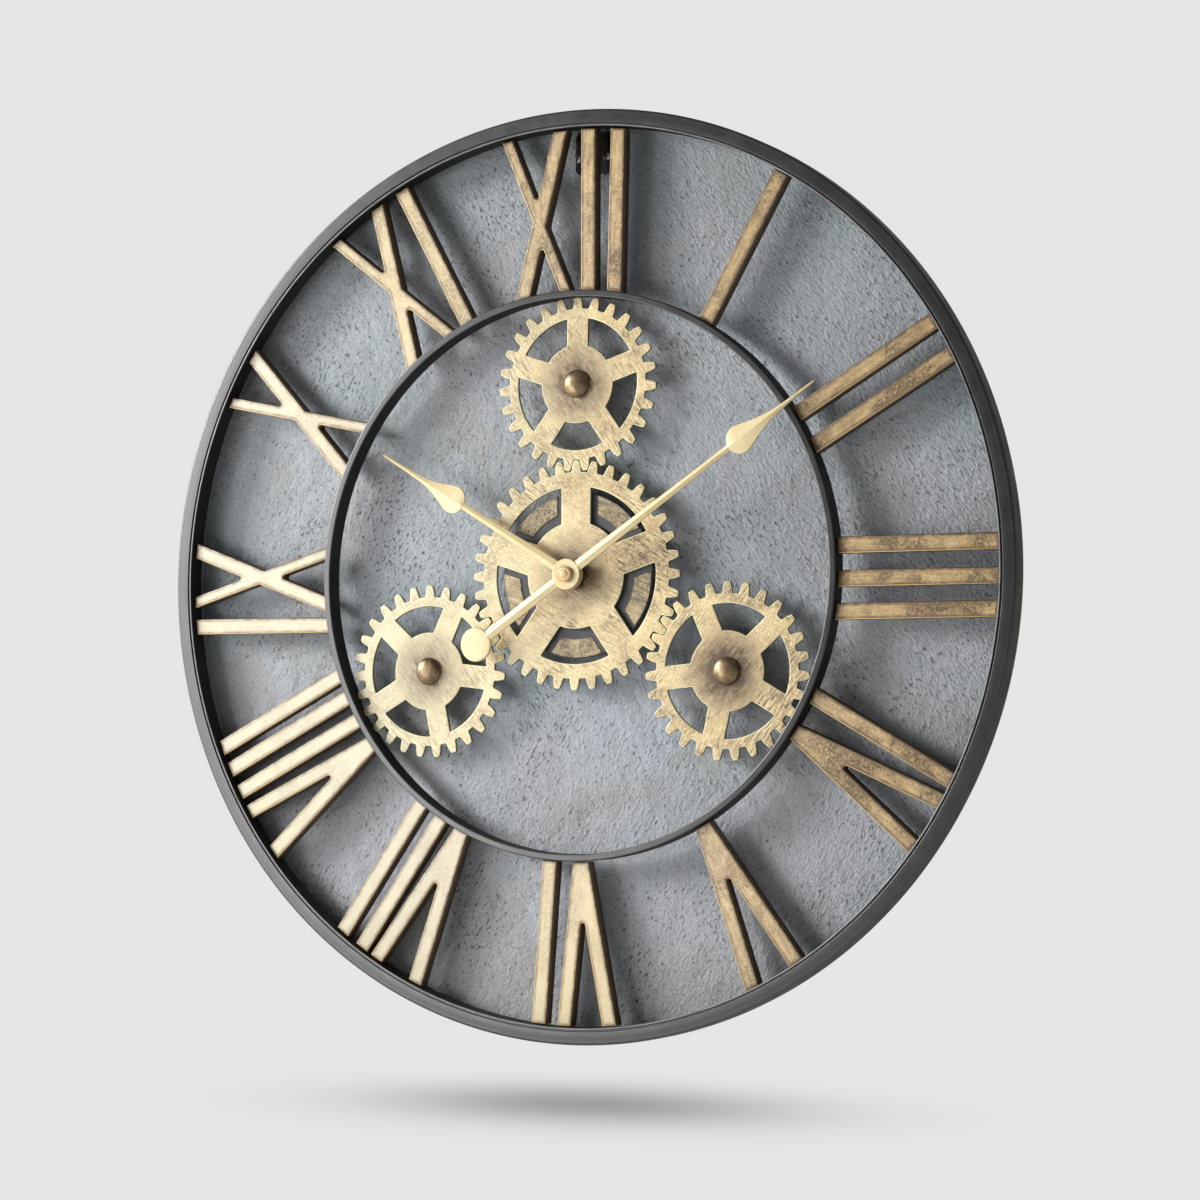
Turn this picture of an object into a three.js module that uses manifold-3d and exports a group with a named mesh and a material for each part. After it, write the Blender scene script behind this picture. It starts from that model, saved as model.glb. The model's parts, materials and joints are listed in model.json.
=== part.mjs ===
// Gear wall clock, 600 mm across: two black rings joined by Roman numerals, a plaster-faced
// back board, a meshing train of four spoked wheels and a quartz movement behind the board.
//
// The clock is drawn in its face frame: X right, Y up, Z towards the viewer, with Z = 0 on the
// front plane of the two rings. "Depth" below means millimetres behind that plane, so a depth d
// sits at Z = -d. The outer group then stands the face up, so that the front looks along -Y and
// the top points along +Z, and moves the middle of the clock's depth to the origin.

import * as THREE from 'three';
import { mergeVertices } from 'three/addons/utils/BufferGeometryUtils.js';
import Module from 'manifold-3d';

const wasm = await Module();
wasm.setup();

// ---------------------------------------------------------------- driving dimensions (mm)

const RING_SEGMENTS = 72;
const OUTER_R = 300;            // outside radius of the outer ring
const OUTER_IN_R = 289.1;       // inside radius of the outer ring
const OUTER_DEPTH = 13;         // depth of its front band
const SKIRT_OUT_R = 296.4;      // rear skirt that seats the back board
const SKIRT_IN_R = 294.6;
const INNER_R = 183.4;          // outside radius of the inner ring
const INNER_IN_R = 179;         // inside radius of the inner ring
const INNER_DEPTH = 12.8;
const GAP = 0.3;                // gap between pieces that touch

const BOARD_R = 296;
const BOARD_FRONT = 22;
const BOARD_BACK = 25;

const NUM_FRONT = 4.2;          // front and back of the numeral bars
const NUM_BACK = 12.4;
const NUM_OUT_R = 288.4;        // bar ends follow the two rings
const NUM_IN_R = 183.8;
const BAR_W = 10.4;             // upright bars
const CROTCH_R = 1.5;           // fillet in the corners of V and X

const GEAR_FRONT = 8.2;
const GEAR_BACK = 10.4;
const GEAR_PITCH_C = 123.5;     // distance from the centre to each small wheel's pin
const CENTRE_TEETH = 36;
const SMALL_TEETH = 27;
const GEAR_MODULE = 2 * GEAR_PITCH_C / (CENTRE_TEETH + SMALL_TEETH);
const PRESSURE_ANGLE = THREE.MathUtils.degToRad(15.5);
const ADDENDUM = 0.9;           // in modules
const DEDENDUM = 1.02;
const GEAR_BACKLASH = 0.5;      // along the pitch circle

const CENTRE_WIN_R = 57.2;      // windows, hub and spokes of the centre wheel
const CENTRE_HUB_R = 34.5;
const CENTRE_SPOKE_W = 21;
const SMALL_WIN_R = 42.8;       // and of the small wheels
const SMALL_HUB_R = 25.5;
const SMALL_SPOKE_W = 15;

const PIN_HEAD_R = 9;
const PIN_HEAD_FRONT = 3.6;
const PIN_R = 3.9;
const PIN_END = 24.9;
const PIN_BORE_R = 4.2;

const DISC_R = 53.5;
const DISC_FRONT = 10.8;
const DISC_BACK = 12.3;
const DISC_BOSS_R = 13;

const BUSH_R = 4.9;             // threaded bush of the movement
const BUSH_BORE_R = 3.3;
const BUSH_FRONT = 3.4;
const BUSH_HOLE_R = 5.25;

const HOUR_PIPE_R = 2.9;
const HOUR_PIPE_BORE_R = 1.95;
const ARBOR_R = 1.6;

const HOUR_FRONT = -2.4;        // hands
const HOUR_BACK = -0.4;
const MINUTE_FRONT = -5.6;
const MINUTE_BACK = -3.6;
const HAND_HUB_R = 10;
const HOUR_ANGLE = 300.5;       // clockwise from twelve
const MINUTE_ANGLE = 55.5;

const CASE_FRONT = 25.3;        // quartz movement
const CASE_BACK = 41.3;
const CASE_WALL = 1.8;
const MOTION_C = 14.4;          // centre distance of the motion work
const MOTION_ANGLE = THREE.MathUtils.degToRad(45);
const CANNON_TEETH = 12;
const MOTION_WHEEL_TEETH = 36;
const MOTION_PINION_TEETH = 10;
const HOUR_WHEEL_TEETH = 40;

const WALL_PLANE = 45;          // rear faces of hanger and bumpers
const FRONT_END = -8.4;         // front of the hand nut
const MID_DEPTH = (WALL_PLANE + FRONT_END) / 2;

// ---------------------------------------------------------------- materials

const black = new THREE.MeshStandardMaterial({ color: 0x2b2b2c, roughness: 0.42, metalness: 0.3 });
const gold = new THREE.MeshStandardMaterial({ color: 0xd9c08c, roughness: 0.5, metalness: 0.55 });
const handGold = new THREE.MeshStandardMaterial({ color: 0xecdcb0, roughness: 0.38, metalness: 0.5 });
const brass = new THREE.MeshStandardMaterial({ color: 0x8f6f43, roughness: 0.35, metalness: 0.9 });
const plaster = new THREE.MeshStandardMaterial({ color: 0x8d9196, roughness: 0.9, metalness: 0.0 });
const plastic = new THREE.MeshStandardMaterial({ color: 0x1d1e20, roughness: 0.6, metalness: 0.0 });
const whitePlastic = new THREE.MeshStandardMaterial({ color: 0xe6e3da, roughness: 0.5, metalness: 0.0 });
const steel = new THREE.MeshStandardMaterial({ color: 0xa9abad, roughness: 0.35, metalness: 0.9 });
const rubber = new THREE.MeshStandardMaterial({ color: 0x26262a, roughness: 0.85, metalness: 0.0 });
const cellJacket = new THREE.MeshStandardMaterial({ color: 0x3d5a4a, roughness: 0.35, metalness: 0.4 });
const copper = new THREE.MeshStandardMaterial({ color: 0xa5572c, roughness: 0.4, metalness: 0.8 });

// ---------------------------------------------------------------- geometry helpers

const rad = THREE.MathUtils.degToRad;

// A geometry with shared vertices and its faces turned outwards.
function tidy(geometry) {
  const g = geometry.clone();
  for (const name of Object.keys(g.attributes)) if (name !== 'position') g.deleteAttribute(name);
  const merged = mergeVertices(g, 1e-4);
  const p = merged.attributes.position;
  const index = Array.from(merged.index.array);
  const faces = [];
  let volume = 0;
  const a = new THREE.Vector3(), b = new THREE.Vector3(), c = new THREE.Vector3();
  for (let i = 0; i < index.length; i += 3) {
    const [i0, i1, i2] = [index[i], index[i + 1], index[i + 2]];
    if (i0 === i1 || i1 === i2 || i2 === i0) continue;
    faces.push(i0, i1, i2);
    a.fromBufferAttribute(p, i0); b.fromBufferAttribute(p, i1); c.fromBufferAttribute(p, i2);
    volume += a.dot(b.cross(c)) / 6;
  }
  if (volume < 0) for (let i = 0; i < faces.length; i += 3) [faces[i], faces[i + 1]] = [faces[i + 1], faces[i]];
  merged.setIndex(faces);
  return merged;
}

function toSolid(geometry) {
  const g = tidy(geometry);
  return new wasm.Manifold(new wasm.Mesh({
    numProp: 3,
    vertProperties: new Float32Array(g.attributes.position.array),
    triVerts: new Uint32Array(g.index.array),
  }));
}

function toGeometry(solid) {
  const mesh = solid.getMesh();
  const n = mesh.numProp;
  const count = mesh.vertProperties.length / n;
  const position = new Float32Array(count * 3);
  for (let i = 0; i < count; i++) {
    for (let k = 0; k < 3; k++) position[3 * i + k] = mesh.vertProperties[n * i + k];
  }
  const g = new THREE.BufferGeometry();
  g.setAttribute('position', new THREE.BufferAttribute(position, 3));
  g.setIndex(new THREE.BufferAttribute(new Uint32Array(mesh.triVerts), 1));
  return g;
}

function join(first, ...rest) {
  let solid = toSolid(first);
  for (const g of rest) solid = solid.add(toSolid(g));
  return toGeometry(solid);
}

function cut(first, ...rest) {
  let solid = toSolid(first);
  for (const g of rest) solid = solid.subtract(toSolid(g));
  return toGeometry(solid);
}

const toShape = (points) => new THREE.Shape(points.map(([x, y]) => new THREE.Vector2(x, y)));
const toPath = (points) => new THREE.Path(points.map(([x, y]) => new THREE.Vector2(x, y)));

function circle(r, n, cx = 0, cy = 0, turn = 0) {
  const out = [];
  for (let i = 0; i < n; i++) {
    const t = turn + 2 * Math.PI * i / n;
    out.push([cx + r * Math.cos(t), cy + r * Math.sin(t)]);
  }
  return out;
}

// A flat plate between two depths, from an outline and its holes.
function plate(points, holes, front, back) {
  const shape = toShape(points);
  for (const h of holes) shape.holes.push(toPath(h));
  const g = new THREE.ExtrudeGeometry(shape, { depth: back - front, bevelEnabled: false });
  return g.translate(0, 0, -back);
}

// A body turned about the clock axis, from (radius, depth) points.
function turned(profile, segments, closed) {
  const points = profile.map(([r, d]) => new THREE.Vector2(r, -d));
  if (closed) points.push(points[0].clone());
  return new THREE.LatheGeometry(points, segments).rotateX(Math.PI / 2);
}

function rod(r, front, back, segments, cx = 0, cy = 0) {
  return turned([[0, front], [r, front], [r, back], [0, back]], segments, false).translate(cx, cy, 0);
}

function box(x0, x1, y0, y1, front, back) {
  return new THREE.BoxGeometry(x1 - x0, y1 - y0, back - front)
    .translate((x0 + x1) / 2, (y0 + y1) / 2, -(front + back) / 2);
}

// Outline of an involute wheel with a tooth pointing along the angle "turn".
function wheel(teeth, module, turn, addendum, dedendum, backlash, angle, flankSteps) {
  const r = teeth * module / 2;
  const rb = r * Math.cos(angle);
  const ra = r + addendum * module;
  const rf = r - dedendum * module;
  const inv = (t) => Math.tan(t) - t;
  const half = (Math.PI * module / 2 - backlash / 2) / (2 * r) + inv(angle);
  const at = (R) => half - inv(Math.acos(Math.min(1, rb / R)));
  const radii = [rf];
  const low = Math.max(rb, rf);
  if (low > rf + 1e-6 && flankSteps > 0) radii.push(low);
  for (let i = 1; i < flankSteps; i++) radii.push(low + (ra - low) * i / flankSteps);
  radii.push(ra);
  const pitch = 2 * Math.PI / teeth;
  const rootHalf = Math.min(at(low) + 0.04 * pitch, 0.47 * pitch);
  const out = [];
  for (let k = 0; k < teeth; k++) {
    const mid = turn + k * pitch;
    for (const R of radii) {
      const t = mid - (R === rf ? rootHalf : at(R));
      out.push([R * Math.cos(t), R * Math.sin(t)]);
    }
    for (const R of [...radii].reverse()) {
      const t = mid + (R === rf ? rootHalf : at(R));
      out.push([R * Math.cos(t), R * Math.sin(t)]);
    }
  }
  return out;
}

// Five windows between straight-sided spokes, one spoke along the angle "turn".
function spokeWindows(outR, hubR, spokeW, turn) {
  const windows = [];
  for (let k = 0; k < 5; k++) {
    const a = turn + 2 * Math.PI * k / 5;
    const b = a + 2 * Math.PI / 5;
    const eo = Math.asin(spokeW / 2 / outR);
    const ei = Math.asin(spokeW / 2 / hubR);
    const w = [];
    for (let i = 0; i <= 7; i++) {
      const t = a + eo + (b - a - 2 * eo) * i / 7;
      w.push([outR * Math.cos(t), outR * Math.sin(t)]);
    }
    for (let i = 0; i <= 3; i++) {
      const t = b - ei - (b - a - 2 * ei) * i / 3;
      w.push([hubR * Math.cos(t), hubR * Math.sin(t)]);
    }
    windows.push(w);
  }
  return windows;
}

// ---------------------------------------------------------------- scene graph

const clock = new THREE.Group();
clock.rotation.x = Math.PI / 2;
const face = new THREE.Group();
face.position.z = MID_DEPTH;
clock.add(face);

function piece(name, geometry, material, parent = face) {
  const mesh = new THREE.Mesh(tidy(geometry), material);
  mesh.name = name;
  parent.add(mesh);
  return mesh;
}

// ---------------------------------------------------------------- rings and board

piece('outer_ring', turned([
  [OUTER_IN_R, 0], [298.4, 0], [OUTER_R, 1.8], [OUTER_R, 12.2], [SKIRT_OUT_R, OUTER_DEPTH],
  [SKIRT_OUT_R, BOARD_FRONT - GAP], [SKIRT_IN_R, BOARD_FRONT - GAP], [SKIRT_IN_R, OUTER_DEPTH],
  [OUTER_IN_R, OUTER_DEPTH],
], RING_SEGMENTS, true), black);

const SMALL_AXES = [
  { name: 'top', angle: rad(90) },
  { name: 'left', angle: rad(210) },
  { name: 'right', angle: rad(330) },
].map((g) => ({ ...g, x: GEAR_PITCH_C * Math.cos(g.angle), y: GEAR_PITCH_C * Math.sin(g.angle) }));

const SMALL_TIP_R = SMALL_TEETH * GEAR_MODULE / 2 + ADDENDUM * GEAR_MODULE;
const NOTCH_R = SMALL_TIP_R + 0.8;

// Three notches, open to the rear, let the tips of the small wheels pass.
piece('inner_ring', cut(
  turned([[INNER_IN_R, 0], [INNER_R, 0], [INNER_R, INNER_DEPTH], [INNER_IN_R, INNER_DEPTH]], RING_SEGMENTS, true),
  ...SMALL_AXES.map((g) => rod(NOTCH_R, GEAR_FRONT - 0.7, INNER_DEPTH + 2, 72, g.x, g.y)),
), black);

const TAB_SCREWS = [[-6.0, 272], [14.8, 272.4]];
const HANGER_SCREWS = [[-38, 241], [38, 241]];
const BUMPERS = [[-105, -228], [105, -228]];

piece('back_board', cut(
  plate(circle(BOARD_R, RING_SEGMENTS), [
    circle(BUSH_HOLE_R, 24),
    ...SMALL_AXES.map((g) => circle(PIN_BORE_R, 16, g.x, g.y)),
  ], BOARD_FRONT, BOARD_BACK),
  ...TAB_SCREWS.map(([x, y]) => rod(1.8, BOARD_FRONT - 1, 24.2, 10, x, y)),
  ...HANGER_SCREWS.map(([x, y]) => rod(2.1, 22.9, BOARD_BACK + 1, 10, x, y)),
  ...BUMPERS.map(([x, y]) => rod(2.3, 22.9, BOARD_BACK + 1, 10, x, y)),
), plaster);

// ---------------------------------------------------------------- numerals

// Lines are kept as a point and a direction in a numeral's own frame: u to the right and v
// outwards from the clock's centre, with the numeral's foot towards the centre.
function barEdges(top, foot, width) {
  const dx = foot[0] - top[0], dy = foot[1] - top[1];
  const len = Math.hypot(dx, dy);
  const n = [dy / len, -dx / len];              // points to the left of the downward direction
  const side = n[0] < 0 ? 1 : -1;
  const shift = (s) => ({
    p: [top[0] + side * s * n[0] * width / 2, top[1] + side * s * n[1] * width / 2],
    d: [dx / len, dy / len],
  });
  return { left: shift(1), right: shift(-1) };
}

function meet(a, b) {
  const det = a.d[0] * -b.d[1] + b.d[0] * a.d[1];
  const rx = b.p[0] - a.p[0], ry = b.p[1] - a.p[1];
  const t = (rx * -b.d[1] + b.d[0] * ry) / det;
  return [a.p[0] + t * a.d[0], a.p[1] + t * a.d[1]];
}

// Where an edge crosses the circle of radius R, on the numeral's side of the centre.
function onCircle(line, R) {
  const [px, py] = line.p, [dx, dy] = line.d;
  const b = px * dx + py * dy;
  const c = px * px + py * py - R * R;
  const root = Math.sqrt(b * b - c);
  const one = [px + (-b + root) * dx, py + (-b + root) * dy];
  const two = [px + (-b - root) * dx, py + (-b - root) * dy];
  return one[1] > two[1] ? one : two;
}

function arcMid(a, b, R) {
  const mx = (a[0] + b[0]) / 2, my = (a[1] + b[1]) / 2, l = Math.hypot(mx, my);
  return [mx * R / l, my * R / l];
}

// Replaces the corner b of a-b-c with a fillet.
function fillet(a, b, c, r, steps = 4) {
  const ua = [a[0] - b[0], a[1] - b[1]], uc = [c[0] - b[0], c[1] - b[1]];
  const la = Math.hypot(...ua), lc = Math.hypot(...uc);
  ua[0] /= la; ua[1] /= la; uc[0] /= lc; uc[1] /= lc;
  const angle = Math.acos(ua[0] * uc[0] + ua[1] * uc[1]);
  const along = r / Math.tan(angle / 2);
  const mid = [ua[0] + uc[0], ua[1] + uc[1]];
  const lm = Math.hypot(...mid);
  const o = [b[0] + mid[0] / lm * r / Math.sin(angle / 2), b[1] + mid[1] / lm * r / Math.sin(angle / 2)];
  const p = [b[0] + ua[0] * along, b[1] + ua[1] * along];
  const q = [b[0] + uc[0] * along, b[1] + uc[1] * along];
  const t0 = Math.atan2(p[1] - o[1], p[0] - o[0]);
  let t1 = Math.atan2(q[1] - o[1], q[0] - o[0]);
  while (t1 - t0 > Math.PI) t1 -= 2 * Math.PI;
  while (t1 - t0 < -Math.PI) t1 += 2 * Math.PI;
  const out = [];
  for (let i = 0; i <= steps; i++) {
    const t = t0 + (t1 - t0) * i / steps;
    out.push([o[0] + r * Math.cos(t), o[1] + r * Math.sin(t)]);
  }
  return out;
}

function outlineI(top, foot, width) {
  const e = barEdges(top, foot, width);
  const a = onCircle(e.left, NUM_OUT_R), b = onCircle(e.right, NUM_OUT_R);
  const c = onCircle(e.right, NUM_IN_R), d = onCircle(e.left, NUM_IN_R);
  return [a, arcMid(a, b, NUM_OUT_R), b, c, arcMid(c, d, NUM_IN_R), d];
}

function outlineV(topL, footL, wL, topR, footR, wR) {
  const l = barEdges(topL, footL, wL), r = barEdges(topR, footR, wR);
  const a = onCircle(l.left, NUM_OUT_R), b = onCircle(l.right, NUM_OUT_R);
  const k = meet(l.right, r.left);
  const c = onCircle(r.left, NUM_OUT_R), d = onCircle(r.right, NUM_OUT_R);
  const e = onCircle(r.right, NUM_IN_R), f = onCircle(l.left, NUM_IN_R);
  return [a, arcMid(a, b, NUM_OUT_R), b, ...fillet(b, k, c, CROTCH_R), c, arcMid(c, d, NUM_OUT_R), d,
    e, arcMid(e, f, NUM_IN_R), f];
}

function outlineX(thinTop, thinFoot, wThin, thickTop, thickFoot, wThick) {
  const n = barEdges(thinTop, thinFoot, wThin), k = barEdges(thickTop, thickFoot, wThick);
  const n1 = onCircle(n.left, NUM_OUT_R), n2 = onCircle(n.right, NUM_OUT_R);
  const k1 = onCircle(k.left, NUM_OUT_R), k2 = onCircle(k.right, NUM_OUT_R);
  const n3 = onCircle(n.right, NUM_IN_R), n4 = onCircle(n.left, NUM_IN_R);
  const k3 = onCircle(k.right, NUM_IN_R), k4 = onCircle(k.left, NUM_IN_R);
  const up = meet(n.right, k.left), east = meet(k.right, n.right);
  const down = meet(n.left, k.right), west = meet(k.left, n.left);
  return [n1, arcMid(n1, n2, NUM_OUT_R), n2, ...fillet(n2, up, k1, CROTCH_R),
    k1, arcMid(k1, k2, NUM_OUT_R), k2, ...fillet(k2, east, n3, CROTCH_R),
    n3, arcMid(n3, n4, NUM_IN_R), n4, ...fillet(n4, down, k3, CROTCH_R),
    k3, arcMid(k3, k4, NUM_IN_R), k4, ...fillet(k4, west, n1, CROTCH_R)];
}

const V_LEFT_W = 10.3, V_RIGHT_W = 9.8, X_THIN_W = 7.4, X_THICK_W = 9.9;
const I = (top, foot) => ({ letter: 'i', points: outlineI([top, 287], [foot, 184], BAR_W) });
const V = (left, right, footL, footR) => ({
  letter: 'v',
  points: outlineV([left, 286], [footL, 184], V_LEFT_W, [right, 286], [footR, 184], V_RIGHT_W),
});
const X = (thinTop, thinFoot, thickTop, thickFoot) => ({
  letter: 'x',
  points: outlineX([thinTop[0], thinTop[1]], [thinFoot, 183.6], X_THIN_W, [thickTop, 287.4], [thickFoot, 183], X_THICK_W),
});

const NUMERALS = [
  { hour: 1, word: 'one', strokes: [I(-0.9, 0.3)] },
  { hour: 2, word: 'two', strokes: [I(-8.8, -7.4), I(14.6, 15.6)] },
  { hour: 3, word: 'three', strokes: [I(-16.6, -15.8), I(4.2, 4.9), I(24.2, 25.2)] },
  { hour: 4, word: 'four', strokes: [I(-17.9, -16.7), V(-3.4, 29.2, 8.9, 9.3)] },
  { hour: 5, word: 'five', strokes: [V(-14.8, 18.6, -1.8, -0.8)] },
  { hour: 6, word: 'six', strokes: [V(-29.0, 2.9, -8.4, -7.2), I(21.2, 14.4)] },
  { hour: 7, word: 'seven', strokes: [V(-35.0, -2.4, -14.2, -13.4), I(10.8, 3.2), I(28.4, 21.0)] },
  { hour: 8, word: 'eight', strokes: [V(-47.4, -14.2, -21.4, -20.3), I(1.0, -2.2), I(18.0, 14.9), I(34.0, 30.8)] },
  { hour: 9, word: 'nine', strokes: [I(-31.4, -30.8), X([-14.7, 288], 17.4, 20.6, -17.2)] },
  { hour: 10, word: 'ten', strokes: [X([-26.0, 287.6], 9.4, 9.2, -23.8)] },
  { hour: 11, word: 'eleven', strokes: [X([-42.7, 285], 0.2, -5.2, -33.2), I(16.3, 14.8)] },
  { hour: 12, word: 'twelve', strokes: [X([-50.4, 283.6], -7.3, -12.2, -37.3), I(8.4, 9.2), I(29.6, 28.0)] },
];

for (const n of NUMERALS) {
  const group = new THREE.Group();
  group.rotation.z = -rad(30 * n.hour);
  face.add(group);
  const many = n.strokes.filter((s) => s.letter === 'i').length > 1;
  let count = 0;
  for (const s of n.strokes) {
    const tail = s.letter === 'i' && many ? '_' + (++count) : '';
    piece(`numeral_${n.word}_${s.letter}${tail}`, plate(s.points, [], NUM_FRONT, NUM_BACK), gold, group);
  }
}

// ---------------------------------------------------------------- rim tab, front of the board

const TAB_X0 = -8.9, TAB_X1 = 17.7, TAB_FOOT = 261, TAB_CORNER = 5;
piece('rim_tab', plate([
  [TAB_X0, TAB_FOOT + TAB_CORNER], [TAB_X0 + 1.5, TAB_FOOT + 1.5], [TAB_X0 + TAB_CORNER, TAB_FOOT],
  [TAB_X1 - TAB_CORNER, TAB_FOOT], [TAB_X1 - 1.5, TAB_FOOT + 1.5], [TAB_X1, TAB_FOOT + TAB_CORNER],
  [TAB_X1, 288.6], [(TAB_X0 + TAB_X1) / 2, 289.1], [TAB_X0, 289.0],
], TAB_SCREWS.map(([x, y]) => circle(1.8, 10, x, y)), 20.2, BOARD_FRONT - GAP), black);

TAB_SCREWS.forEach(([x, y], i) => {
  piece(i ? 'tab_screw_right' : 'tab_screw_left', turned([
    [0, 17.6], [1.6, 17.8], [2.8, 18.6], [3.3, 19.9], [1.5, 19.9], [1.5, 23.9], [0, 23.9],
  ], 12, false).translate(x, y, 0), steel);
});

// ---------------------------------------------------------------- wheels and their pins

piece('centre_gear', plate(
  wheel(CENTRE_TEETH, GEAR_MODULE, rad(90), ADDENDUM, DEDENDUM, GEAR_BACKLASH, PRESSURE_ANGLE, 1),
  [...spokeWindows(CENTRE_WIN_R, CENTRE_HUB_R, CENTRE_SPOKE_W, rad(90)), circle(BUSH_HOLE_R, 24)],
  GEAR_FRONT, GEAR_BACK), gold);

for (const g of SMALL_AXES) {
  const group = new THREE.Group();
  group.position.set(g.x, g.y, 0);
  face.add(group);
  piece(`${g.name}_gear`, plate(
    wheel(SMALL_TEETH, GEAR_MODULE, g.angle, ADDENDUM, DEDENDUM, GEAR_BACKLASH, PRESSURE_ANGLE, 1),
    [...spokeWindows(SMALL_WIN_R, SMALL_HUB_R, SMALL_SPOKE_W, g.angle), circle(PIN_BORE_R, 16)],
    GEAR_FRONT, GEAR_BACK), gold, group);
  const dome = [];
  for (let i = 0; i <= 4; i++) {
    const t = Math.PI / 2 * i / 4;
    dome.push([PIN_HEAD_R * Math.sin(t), GEAR_FRONT - GAP - 0.5 - (GEAR_FRONT - GAP - 0.5 - PIN_HEAD_FRONT) * Math.cos(t)]);
  }
  piece(`${g.name}_gear_pin`, turned([
    ...dome, [PIN_HEAD_R, GEAR_FRONT - GAP], [PIN_R, GEAR_FRONT - GAP], [PIN_R, PIN_END], [0, PIN_END],
  ], 16, false), brass, group);
  piece(`${g.name}_gear_bush`, turned([
    [PIN_BORE_R, GEAR_BACK + GAP], [8, GEAR_BACK + GAP], [8, BOARD_FRONT - GAP], [PIN_BORE_R, BOARD_FRONT - GAP],
  ], 16, true), brass, group);
}

piece('centre_disc', turned([
  [BUSH_HOLE_R, DISC_FRONT], [DISC_R, DISC_FRONT], [DISC_R, DISC_BACK], [DISC_BOSS_R, DISC_BACK],
  [DISC_BOSS_R, BOARD_FRONT - GAP], [BUSH_HOLE_R, BOARD_FRONT - GAP],
], 36, true), gold);

piece('bush_nut', plate(circle(9, 6), [circle(BUSH_HOLE_R, 24)], 4.4, GEAR_FRONT - GAP), brass);

// ---------------------------------------------------------------- hands

// A hand from (distance along, half width) stations: shaft, leaf-shaped bulb and point.
function handOutline(stations, hubR, tail) {
  const right = [], left = [];
  for (const [a, w] of stations) { right.push([w, a]); left.push([-w, a]); }
  const start = stations[0];
  const t0 = Math.asin(start[1] / hubR);
  const arc = [];
  // hub, clockwise side first, then the tail if the hand has one
  const side = (from, to, r, cy, n) => {
    const out = [];
    for (let i = 0; i <= n; i++) {
      const t = from + (to - from) * i / n;
      out.push([r * Math.sin(t), cy + r * Math.cos(t)]);
    }
    return out;
  };
  if (tail) {
    const s = Math.asin(tail.w / hubR), e = Math.asin(tail.w / tail.r);
    arc.push(...side(t0, Math.PI - s, hubR, 0, 7));
    arc.push(...side(e, 2 * Math.PI - e, tail.r, -tail.length, 16));
    arc.push(...side(Math.PI + s, 2 * Math.PI - t0, hubR, 0, 7));
  } else {
    arc.push(...side(t0, 2 * Math.PI - t0, hubR, 0, 20));
  }
  return [...arc, ...left.slice(1), ...right.slice(1).reverse()];
}

const HOUR_STATIONS = [
  [Math.sqrt(100 - 3.5 * 3.5), 3.5], [90, 2.3], [91.2, 4.6], [93.5, 7.2], [96, 8.6], [98.5, 9.1], [102, 8.6], [107, 6.8],
  [113, 4.6], [120, 2.8], [130, 1.8], [145, 1.2], [158, 0.9], [159.6, 0.5],
];
const MINUTE_STATIONS = [
  [Math.sqrt(100 - 3.5 * 3.5), 3.5], [136.5, 2.1], [137.8, 4.6], [140, 7.2], [142.5, 8.7], [145.5, 9.3], [150, 8.3], [156, 6.3],
  [163, 4.2], [171, 2.6], [181, 1.5], [195, 0.9], [205.6, 0.6], [206.8, 0.3],
];
const MINUTE_TAIL = { length: 79, r: 11.2, w: 3.5 };

const hourGroup = new THREE.Group();
hourGroup.rotation.z = -rad(HOUR_ANGLE);
face.add(hourGroup);
piece('hour_hand', plate(handOutline(HOUR_STATIONS, HAND_HUB_R, null), [circle(HOUR_PIPE_R + GAP, 20)],
  HOUR_FRONT, HOUR_BACK), handGold, hourGroup);

const minuteGroup = new THREE.Group();
minuteGroup.rotation.z = -rad(MINUTE_ANGLE);
face.add(minuteGroup);
piece('minute_hand', plate(handOutline(MINUTE_STATIONS, HAND_HUB_R, MINUTE_TAIL), [circle(ARBOR_R + GAP, 16)],
  MINUTE_FRONT, MINUTE_BACK), handGold, minuteGroup);

piece('hand_nut', turned([
  [0, FRONT_END], [2.6, FRONT_END + 0.15], [4.2, FRONT_END + 0.7], [5, FRONT_END + 1.5], [5, MINUTE_FRONT - GAP],
  [ARBOR_R + GAP, MINUTE_FRONT - GAP], [ARBOR_R + GAP, -7.5], [0, -7.5],
], 20, false), handGold);

// ---------------------------------------------------------------- quartz movement

const motionX = MOTION_C * Math.cos(MOTION_ANGLE), motionY = MOTION_C * Math.sin(MOTION_ANGLE);
const CANNON_MODULE = 2 * MOTION_C / (CANNON_TEETH + MOTION_WHEEL_TEETH);
const HOUR_MODULE = 2 * MOTION_C / (MOTION_PINION_TEETH + HOUR_WHEEL_TEETH);
const CASE_X = 28, CASE_TOP = 28, CASE_FOOT = -33;
const BAY_TOP = -15, CHAMBER_FOOT = -13.2;
const smallWheel = (teeth, module, turn) =>
  wheel(teeth, module, turn, 0.9, 1.2, 0.24 * module, rad(20), 0);

piece('movement_case', cut(
  join(
    cut(box(-CASE_X, CASE_X, CASE_FOOT, CASE_TOP, CASE_FRONT, CASE_BACK),
      box(-CASE_X + CASE_WALL, CASE_X - CASE_WALL, CHAMBER_FOOT, CASE_TOP - CASE_WALL, CASE_FRONT + CASE_WALL, CASE_BACK + 1),
      box(-CASE_X + CASE_WALL, CASE_X - CASE_WALL, CASE_FOOT + CASE_WALL, BAY_TOP, CASE_FRONT + CASE_WALL, CASE_BACK + 1)),
    rod(BUSH_R, BUSH_FRONT, CASE_FRONT + 0.5, 24),
    rod(1.0, CASE_FRONT + 0.5, 34.5, 12, motionX, motionY),
  ),
  rod(BUSH_BORE_R, BUSH_FRONT - 1, CASE_FRONT + CASE_WALL + 1, 24),
), plastic);

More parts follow.
